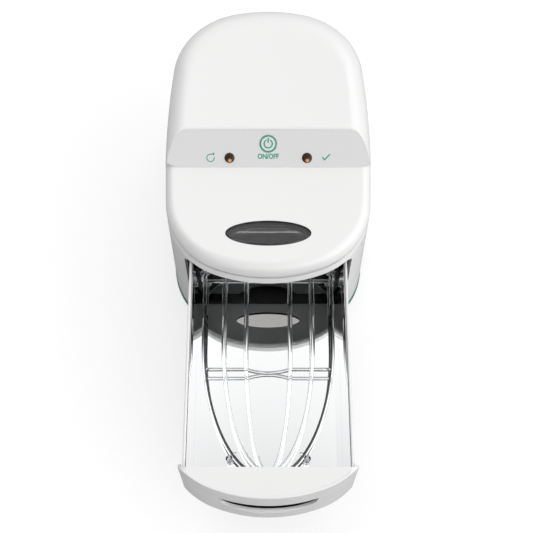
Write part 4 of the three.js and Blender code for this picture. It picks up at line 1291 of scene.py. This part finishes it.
def makeDrawerFront():
    skin, depth, ahead = front["skin"], front["depth"], front["ahead"]
    ends = depth + front["ear"]
    shell = frontForm(0, front["upper"])
    carve(shell, "INTERSECT", newPiece(
        "mouth", *mouthPrism(runningGap, (ahead, ends), front["lift"]), slide=travel))
    hollow = frontForm(skin, front["hollowUpper"])
    carve(hollow, "INTERSECT", newPiece(
        "mouth", *mouthPrism(runningGap + skin, (ahead, ends + past)), slide=travel))
    half = front["boxHalf"] + front["earGap"]
    between = newPiece("between", *boxOf(
        (-half, half), (depth, ends + past), (0, body["hump"])), slide=travel)
    carve(shell, "DIFFERENCE", hollow, between)
    bowl = pocketRoom(pocket["skin"])
    carve(bowl, "INTERSECT", frontForm(pocket["skinInset"], front["upper"]))
    carve(shell, "UNION", bowl)
    carve(shell, "DIFFERENCE", pocketRoom(0), pocketSlot(), pocketScoop())
    shell.name = "drawerFront"
    dress(shell, "drawer", finish["white"], "white_plastic", "drawer_front")
    # painted shade: the pocket's room is black for the shade deep in the pocket
    paintFaces(shell, finish["black"], inRoom)

    plate = newPiece("drawerFrontBack", *mouthPrism(
        runningGap + skin + seam, (depth - wall, depth)), slide=travel)
    carve(plate, "INTERSECT", frontForm(skin + seam, front["hollowUpper"]))
    dress(plate, "drawer", finish["white"], "white_plastic", "drawer_front_back")


makeDrawerFront()
print("drawer front made")


# Drawer box and its mirror lining

tray = {
    "half": 72.5,
    "front": 26.3,
    "back": 268,
    "corner": 38,
    "cornerSteps": 18,
    "floor": 49,
    "rim": 135,
    "rimRound": 1.1,
    "footRows": ((1.2, 0), (0.35, 0.35), (0, 1.2), (0, wall)),
    "overlap": 1,
    "mirrorTop": 53.8,
    "mirrorEdge": 0.25,
    "lining": 0.4,
    "liningTop": 131,
    "liningRound": 0.15,
    "edgeRows": 5,
    "tabHalf": 12,
    "tabDepth": 4,
    "tabDrop": 4,
}


def trayShape(inset, start):
    steps = tray["cornerSteps"]
    half, back, radius = tray["half"] - inset, tray["back"] - inset, tray["corner"] - inset
    right = arcPoints(half - radius, back - radius, radius, 0, quarter, steps)
    left = arcPoints(-half + radius, back - radius, radius, quarter, math.pi, steps)
    return [(-half, start), (half, start), *right, *left]


def trayWall(name, outer, inner, low, high, start, soft):
    # a wall along the tray's sides and back, its top edge rounded by soft
    turns = rounding(tray["edgeRows"])
    rows = [(outer, low), (outer, high - soft)]
    rows += [(outer + soft * (1 - math.cos(t)), high - soft + soft * math.sin(t))
             for t in turns[1:]]
    rows += [(inner - soft * (1 - math.cos(t)), high - soft + soft * math.sin(t))
             for t in turns[::-1]]
    rows += [(inner, low)]
    rings = []
    for inset, z in rows:
        first, *others = trayShape(inset, start)
        rings.append([(x, y, z) for x, y in (*others, first)])
    rings = np.array(rings)
    levels, count = rings.shape[:2]
    faces = []
    for level in range(levels):
        here, above = level * count, ((level + 1) % levels) * count
        for i in range(count - 1):
            faces.append((here + i, here + i + 1, above + i + 1, above + i))
    faces.append([level * count for level in range(levels)])
    faces.append([level * count + count - 1 for level in range(levels - 1, -1, -1)])
    return newPiece(name, rings.reshape(-1, 3), faces, slide=travel)


def makeTray():
    bottom, start, back = tray["floor"], tray["front"], tray["back"] - wall
    walls = trayWall("trayWalls", 0, wall, bottom + tray["overlap"], tray["rim"], start,
                     tray["rimRound"])
    floor = newPiece("trayFloor", *loft(
        [[(x, y, bottom + rise) for x, y in trayShape(inset, start)]
         for inset, rise in tray["footRows"]]), slide=travel)
    tab = newPiece("trayTab", *boxOf(
        (-tray["tabHalf"], tray["tabHalf"]), (back - tray["tabDepth"], back),
        (bottom - tray["tabDrop"], bottom + tray["overlap"])), slide=travel)
    carve(walls, "UNION", floor, tab)
    walls.name = "drawerBox"
    dress(walls, "drawer", finish["white"], "white_plastic", "drawer_box")

    inset, high, edge = wall + seam, tray["mirrorTop"], tray["mirrorEdge"]
    rows = ((inset, bottom + inset), (inset, high - edge), (inset + edge, high))
    sheet = newPiece("mirrorFloor", *loft(
        [[(x, y, z) for x, y in trayShape(grow, start + seam)] for grow, z in rows]), slide=travel)
    dress(sheet, "drawer", finish["mirror"], "mirror_sheet", "mirror_floor")
    lining = trayWall("mirrorLining", inset, inset + tray["lining"], high + seam,
                      tray["liningTop"], start + seam, tray["liningRound"])
    dress(lining, "drawer", finish["mirror"], "mirror_sheet",
          "mirror_wall_left", "mirror_wall_right", "mirror_wall_back")


makeTray()
print("drawer box made")


# Clear rack: rods from Geometry Nodes, bars, knobs and feet

rack = {
    "radius": 2.0,
    "barRadius": 1.8,
    "height": 68,
    "nose": 38,
    "end": 236.5,
    "bendShare": 0.64,
    "middleShare": 0.48,
    "dip": 11,
    "steps": 64,
    "sides": 20,
    "rods": ((0.855, 1.055), (0.593, 1.016), (0.2966, 1.023)),
    "barSides": 16,
    "dipReach": 3,
    "dipSteps": 25,
    # how far back and how far round the flank the painted shade on the outer rods reaches
    "shadeBefore": 200,
    "shadeTurn": 0.0,
    "feet": {
        "front": {"along": 51, "ball": 3.3, "aside": 3.9},
        "back": {"along": 233, "ball": 2.7, "aside": 2.6},
    },
    "footSides": 28,
    "ballRows": 17,
    "pole": 0.02,
    "pin": 1.1,
    "bead": 1.8,
    "beadAside": 2.8,
    "leg": 1.3,
    "pad": 2.6,
    "padEdge": 0.4,
    "padRise": (0.4, 1.2, 2.6),
    "sharp": 50,
}
bendStart = rack["nose"] + (rack["end"] - rack["nose"]) * rack["bendShare"]
middleBar = rack["nose"] + (rack["end"] - rack["nose"]) * rack["middleShare"]


def rodSpread(rod, y):
    asideShare, closeShare = rack["rods"][rod]
    gone = max(0, bendStart - y) / (closeShare * (bendStart - rack["nose"]))
    return asideShare * tray["half"] * math.sqrt(1 - gone**2)


def rodSlope(y):  # how fast the outer rod spreads at y
    return (rodSpread(0, y + 1) - rodSpread(0, y - 1)) / 2


def rodTree():  # a round rod from nose to end that closes in from its bend toward the nose
    sizes = [(name, "Float") for name in
             ("Aside", "Closing", "Bend", "Nose", "End", "Height", "Radius")]
    tree = newTree("clearRod", "GeometryNodeTree", [
        ("Geometry", "Geometry"), *sizes, ("Steps", "Int"), ("Sides", "Int"),
    ], [("Geometry", "Geometry")])
    add, link = tree.nodes.new, tree.links.new
    given = add("NodeGroupInput")

    def worked(kind, *values):
        node = add("ShaderNodeMath")
        node.operation = kind
        for socket, value in zip(node.inputs, values):
            if isinstance(value, float):
                socket.default_value = value
            else:
                link(value, socket)
        return node.outputs[0]

    ends = []
    for name in ("Nose", "End"):
        end = add("ShaderNodeCombineXYZ")
        link(given.outputs[name], end.inputs["Y"])
        link(given.outputs["Height"], end.inputs["Z"])
        ends.append(end)
    line = add("GeometryNodeCurvePrimitiveLine")
    link(ends[0].outputs[0], line.inputs["Start"])
    link(ends[1].outputs[0], line.inputs["End"])
    split = add("GeometryNodeResampleCurve")
    link(line.outputs[0], split.inputs["Curve"])
    link(given.outputs["Steps"], split.inputs["Count"])
    here = add("GeometryNodeInputPosition")
    apart = add("ShaderNodeSeparateXYZ")
    link(here.outputs[0], apart.inputs[0])
    gone = worked("MAXIMUM", worked("SUBTRACT", given.outputs["Bend"], apart.outputs["Y"]), 0.0)
    share = worked("DIVIDE", gone, given.outputs["Closing"])
    left = worked("SUBTRACT", 1.0, worked("MULTIPLY", share, share))
    shift = add("ShaderNodeCombineXYZ")
    link(worked("MULTIPLY", given.outputs["Aside"], worked("SQRT", left)), shift.inputs["X"])
    move = add("GeometryNodeSetPosition")
    link(split.outputs[0], move.inputs["Geometry"])
    link(shift.outputs[0], move.inputs["Offset"])
    circle = add("GeometryNodeCurvePrimitiveCircle")
    link(given.outputs["Sides"], circle.inputs["Resolution"])
    link(given.outputs["Radius"], circle.inputs["Radius"])
    tube = add("GeometryNodeCurveToMesh")
    tube.inputs["Fill Caps"].default_value = True
    link(move.outputs[0], tube.inputs["Curve"])
    link(circle.outputs[0], tube.inputs["Profile Curve"])
    return endTree(tree, tube.outputs[0], finish["clear"])


def rackBar(name, path, radius):
    section = tubeAlong(path, radius, rack["barSides"], (0, 1.0, 0))
    return newPiece(name, *section, slide=travel)


def onInnerFlank(face):  # painted shade: the outer rods are tinted dark on the side that faces the rack's middle
    x, y = face.center.x / mm, face.center.y / mm - frontY + travel
    if y > rack["shadeBefore"] or abs(abs(x) - rodSpread(0, y)) > rack["radius"]:
        return False
    slope = rodSlope(y)
    outward = math.copysign(1, x) * face.normal.x - slope * face.normal.y
    return outward / math.hypot(1, slope) < rack["shadeTurn"]


def makeRack():
    tree, height, y0 = rodTree(), rack["height"], frontY - travel
    parts = []
    for asideShare, closeShare in rack["rods"]:
        for side in (-1, 1):
            piece = newPiece("rod", [(0, 0, 0)], [], clean=False)
            applyTree(piece, tree, Aside=side * asideShare * tray["half"] * mm,
                      Closing=closeShare * (bendStart - rack["nose"]) * mm,
                      Bend=(bendStart + y0) * mm, Nose=(rack["nose"] + y0) * mm,
                      End=(rack["end"] + y0) * mm, Height=height * mm,
                      Radius=rack["radius"] * mm, Steps=rack["steps"], Sides=rack["sides"])
            parts.append(piece)
    for y in (rack["end"], rack["nose"]):
        half = rodSpread(0, y)
        parts.append(rackBar("bar", [(x, y, height) for x in (-half, 0, half)], rack["barRadius"]))
    inner, outer = rodSpread(2, middleBar), rodSpread(0, middleBar)
    dipEnd = inner + rack["dipReach"]
    dipped = [(x, height - rack["dip"] * (1 - (x / inner) ** 2))
              for x in np.linspace(-inner, inner, rack["dipSteps"])]
    path = [(-outer, height), (-dipEnd, height), *dipped, (dipEnd, height), (outer, height)]
    parts.append(rackBar("bar", [(x, middleBar, z) for x, z in path], rack["barRadius"]))
    whole = carve(parts[0], "UNION", *parts[1:])
    whole.name = "clearRack"
    dress(whole, "drawer", finish["clear"], "clear_plastic", "rack", sharp=rack["sharp"])
    # painted shade on the outer rods' inner flank
    paintFaces(whole, finish["clearPaintedShade"], onInnerFlank)


def turnedFoot(name, profile, spot):
    return newPiece(name, *turned(profile, *spot, rack["footSides"]), slide=travel)


def ballAt(spot, radius):
    turns = np.linspace(rack["pole"], math.pi - rack["pole"], rack["ballRows"])
    profile = [(radius * math.sin(t), rack["height"] - radius * math.cos(t)) for t in turns]
    return turnedFoot("ball", profile, spot)


def makeRackFeet():
    # each foot: a ball beside the outer rod on a leg, and a pin through the rod to a small bead
    low, height, leg, pad = tray["mirrorTop"] + seam, rack["height"], rack["leg"], rack["pad"]
    edge, rim, ankle = [low + rise for rise in rack["padRise"]]
    profile = [(0, low), (pad - rack["padEdge"], low), (pad, edge), (pad, rim), (leg, ankle),
               (leg, height), (0, height)]
    for place, foot in rack["feet"].items():
        y = foot["along"]
        slope = rodSlope(y)
        away = np.array([1, -slope]) / math.hypot(1, slope)
        middle = np.array([rodSpread(0, y), y])
        for side, hand in ((-1, "left"), (1, "right")):
            ball = (middle + away * foot["aside"]) * (side, 1)
            bead = (middle - away * rack["beadAside"]) * (side, 1)
            piece = ballAt(ball, foot["ball"])
            pin = rackBar("pin", [(*spot, height) for spot in (ball, (ball + bead) / 2, bead)],
                          rack["pin"])
            carve(piece, "UNION", turnedFoot("leg", profile, ball), pin, ballAt(bead, rack["bead"]))
            piece.name = "rackFoot_" + place + "_" + hand
            dress(piece, "drawer", finish["clear"], "clear_plastic",
                  "rack_foot_" + place + "_" + hand, sharp=rack["sharp"])


makeRack()
makeRackFeet()
print("rack made")


# Chamber: bay, ceiling, baffle and lamp

chamber = {
    "ceiling": 157.6,
    "ceilingThickness": 1.8,
    "bayInset": 3.1,
    "bayWall": 2.0,
    "bayFront": 39,
    "bayFloor": 39.4,
    "baffleFront": 55,
    "baffleDepth": 12,
    "baffleHalf": 70,
    "baffleDrop": 2.5,
    "baffleRound": 0.6,
    "bulgeHalf": 34,
    "bulgeDepth": 15,
    "bayRound": 0.3,
    "sharp": 50,
}
lamp = {"radius": 6, "aside": 13, "front": 100, "back": 236, "drop": 9.6, "sides": 24,
        "legSteps": 12, "bendSteps": 24}


def makeBay():
    top, floor = chamber["ceiling"] - seam, chamber["bayFloor"]
    half, inset, full = housing["mouthHalf"], chamber["bayInset"], body["halfWidth"]
    width = half + chamber["bayWall"]
    ys, zs = (-past, body["length"]), (floor, top + past)
    outer = newPiece("bayOuter", *leaning(inset, (floor - wall, top)))
    carve(outer, "INTERSECT", newPiece("bayWidth", *boxOf((-width, width), ys, (0, top + past))))
    inner = newPiece("bayInner", *leaning(inset + chamber["bayWall"], zs))
    carve(inner, "INTERSECT", newPiece("bayRoom", *boxOf((-half, half), ys, zs)))
    opening = newPiece("bayOpening", *boxOf((-full, full), (-past, chamber["bayFront"]), zs))
    carve(outer, "DIFFERENCE", inner, opening)
    outer.name = "drawerBay"
    soften(outer, chamber["bayRound"], chamber["sharp"], 1)
    dress(outer, "cabinet", finish["white"], "white_plastic", "drawer_bay")


def makeCeiling():
    low, high = chamber["ceiling"], chamber["ceiling"] + chamber["ceilingThickness"]
    plate = newPiece("ceilingPanel", *loft([ring(-wall - seam, z) for z in (low, high)]))
    inset = window["ledge"]
    hole = oval(0, window["back"], window["halfWidth"] - inset, window["halfDepth"] - inset)
    carve(plate, "DIFFERENCE", newPiece("hole", *upright(hole, (low - past, high + past))))
    # painted shade: the ceiling panel takes the grey for the shade under the hood
    dress(plate, "cabinet", finish["dark"], "dark_plastic", "ceiling_panel")


def makeBaffle():
    half, full = chamber["baffleHalf"], body["halfWidth"]
    top, depth = chamber["ceiling"] - seam, chamber["baffleDepth"]
    bottom, y = top - chamber["baffleDrop"], chamber["baffleFront"]
    bar = newPiece("lampBaffle", *boxOf((-half, half), (y, y + depth), (bottom, top)))
    bulge = oval(0, y + depth / 2, chamber["bulgeHalf"], chamber["bulgeDepth"])
    carve(bar, "UNION", newPiece("bulge", *upright(bulge, (bottom, top))))
    cut = boxOf((-full, full), (y - chamber["bulgeDepth"], y), (bottom - past, top + past))
    carve(bar, "DIFFERENCE", newPiece("bulgeCut", *cut))
    soften(bar, chamber["baffleRound"], chamber["sharp"])
    dress(bar, "cabinet", finish["black"], "black_plastic", "lamp_baffle")


def makeLamp():
    aside, near, far = lamp["aside"], lamp["front"], lamp["back"]
    leg = np.linspace(far, near, lamp["legSteps"])
    path = [(-aside, y) for y in leg]
    path += arcPoints(0, near, aside, math.pi, 2 * math.pi, lamp["bendSteps"])[1:-1]
    path += [(aside, y) for y in leg[::-1]]
    height = chamber["ceiling"] - lamp["drop"]
    tube = newPiece("lampTube", *tubeAlong(
        [(x, y, height) for x, y in path], lamp["radius"], lamp["sides"], (0, 0, 1.0)))
    dress(tube, "cabinet", finish["glass"], "lamp_glass", "uv_lamp", sharp=chamber["sharp"])


makeBay()
makeCeiling()
makeBaffle()
makeLamp()
print("chamber made")


# CAD nodes that stay take a fuller material

stays = {
    "white": ("lamp_socket", "lamp_clip", "runner_left", "runner_right"),
    "black": ("button_switch", "drawer_stop", "safety_switch", "power_inlet"),
    "steel": ("lamp_reflector", "lamp_ballast", "rail_left", "rail_right", "power_choke"),
    "board": ("control_board", "power_board"),
}
for look, nodes in stays.items():
    for node in nodes:
        mesh = frame["nodes"][node].data
        mesh.materials.clear()
        mesh.materials.append(finish[look])


# Stage: floor, light and camera

room = {
    "backdrop": 0.95,
    "floorGlow": 0.64,
    "floorBounce": (0.45, 0.45, 0.45),
    "paper": {
        "name": "paleFloor", "tone": (0.36, 0.36, 0.36), "shade": (0.355, 0.355, 0.355),
        "gloss": (0.6, 0.7), "mottle": 2, "grain": 300, "bump": 0.0, "Specular_IOR_Level": 0.1,
    },
}
# soft lights of the room: direction, cosine where each starts and is full, strength
lobes = {
    "left": ((-0.6, 0.1, 0.8), 0.55, 0.95, 0.3),
    "right": ((0.8, 0.1, 0.55), 0.55, 0.95, 1.2),
    "front": ((0, -0.75, 0.65), 0.55, 0.95, 0.52),
    "back": ((0, 0.75, 0.65), 0.55, 0.95, 0.98),
    "lowRight": ((0.85, -0.5, 0.15), 0.6, 0.95, 1.4),
    "lowFront": ((0.15, -0.95, 0.1), 0.6, 0.95, 0.8),
    "backLeft": ((-0.7, 0.55, 0.45), 0.6, 0.95, 0.75),
}
stage = {
    "floorReach": 6.0,
    "lens": 63.35,
    "sensor": 36,
    "elevation": 66,
    "cameraHeight": 922,
    "cameraFront": -331.7,
    "cameraAside": -1.6,
}


def makeFloorFinish():
    # lit paper: it glows toward the camera, so shadows stay faint, and bounces less to the part
    material = surfaceMaterial(**room["paper"])
    nodes, link = material.node_tree.nodes, material.node_tree.links.new
    lit = nodes["Principled BSDF"]
    lit.inputs["Emission Color"].default_value = (1, 1, 1, 1)
    lit.inputs["Emission Strength"].default_value = room["floorGlow"]
    dull = nodes.new("ShaderNodeBsdfDiffuse")
    dull.inputs["Color"].default_value = (*room["floorBounce"], 1)
    seen = nodes.new("ShaderNodeLightPath")
    mix = nodes.new("ShaderNodeMixShader")
    link(seen.outputs["Is Camera Ray"], mix.inputs[0])
    link(dull.outputs[0], mix.inputs[1])
    link(lit.outputs[0], mix.inputs[2])
    link(mix.outputs[0], nodes["Material Output"].inputs["Surface"])
    return material


def makeFloor():
    reach = stage["floorReach"]
    corners = [(-reach, -reach, 0), (reach, -reach, 0), (reach, reach, 0), (-reach, reach, 0)]
    mesh = bpy.data.meshes.new("floor")
    mesh.from_pydata(corners, [], [(0, 1, 2, 3)])
    mesh.materials.append(makeFloorFinish())
    floor = addObject("floor", mesh)


def makeLight():  # the room shines from its soft lights, and the camera sees an even backdrop
    world = bpy.data.worlds.new("softRoom")
    bpy.context.scene.world = world
    world.use_nodes = True
    nodes, link = world.node_tree.nodes, world.node_tree.links.new
    sky = nodes["Background"]
    where = nodes.new("ShaderNodeTexCoord")
    total = None
    for aim, start, full, strength in lobes.values():
        toward = nodes.new("ShaderNodeVectorMath")
        toward.operation = "DOT_PRODUCT"
        toward.inputs[1].default_value = Vector(aim).normalized()
        link(where.outputs["Generated"], toward.inputs[0])
        ramp = nodes.new("ShaderNodeMapRange")
        ramp.interpolation_type = "SMOOTHSTEP"
        ramp.inputs["From Min"].default_value = start
        ramp.inputs["From Max"].default_value = full
        ramp.inputs["To Max"].default_value = strength
        link(toward.outputs["Value"], ramp.inputs["Value"])
        both = nodes.new("ShaderNodeMath")
        both.operation = "ADD"
        both.inputs[1].default_value = 0
        link(ramp.outputs["Result"], both.inputs[0])
        if total:
            link(total, both.inputs[1])
        total = both.outputs[0]
    seen = nodes.new("ShaderNodeLightPath")
    plain = nodes.new("ShaderNodeMix")
    plain.inputs["B"].default_value = room["backdrop"]
    link(seen.outputs["Is Camera Ray"], plain.inputs["Factor"])
    link(total, plain.inputs["A"])
    link(plain.outputs["Result"], sky.inputs["Strength"])
    sky.inputs["Color"].default_value = (1, 1, 1, 1)


def makeCamera():
    camera = bpy.data.cameras.new("camera")
    camera.lens = stage["lens"]
    camera.sensor_width = stage["sensor"]
    eye = addObject("camera", camera)
    eye.location = (stage["cameraAside"] * mm, (stage["cameraFront"] + frontY) * mm,
                    stage["cameraHeight"] * mm)
    eye.rotation_euler = (math.radians(90 - stage["elevation"]), 0, 0)
    bpy.context.scene.camera = eye
    bpy.context.scene.view_settings.view_transform = "Standard"


makeFloor()
makeLight()
makeCamera()
print("stage made")
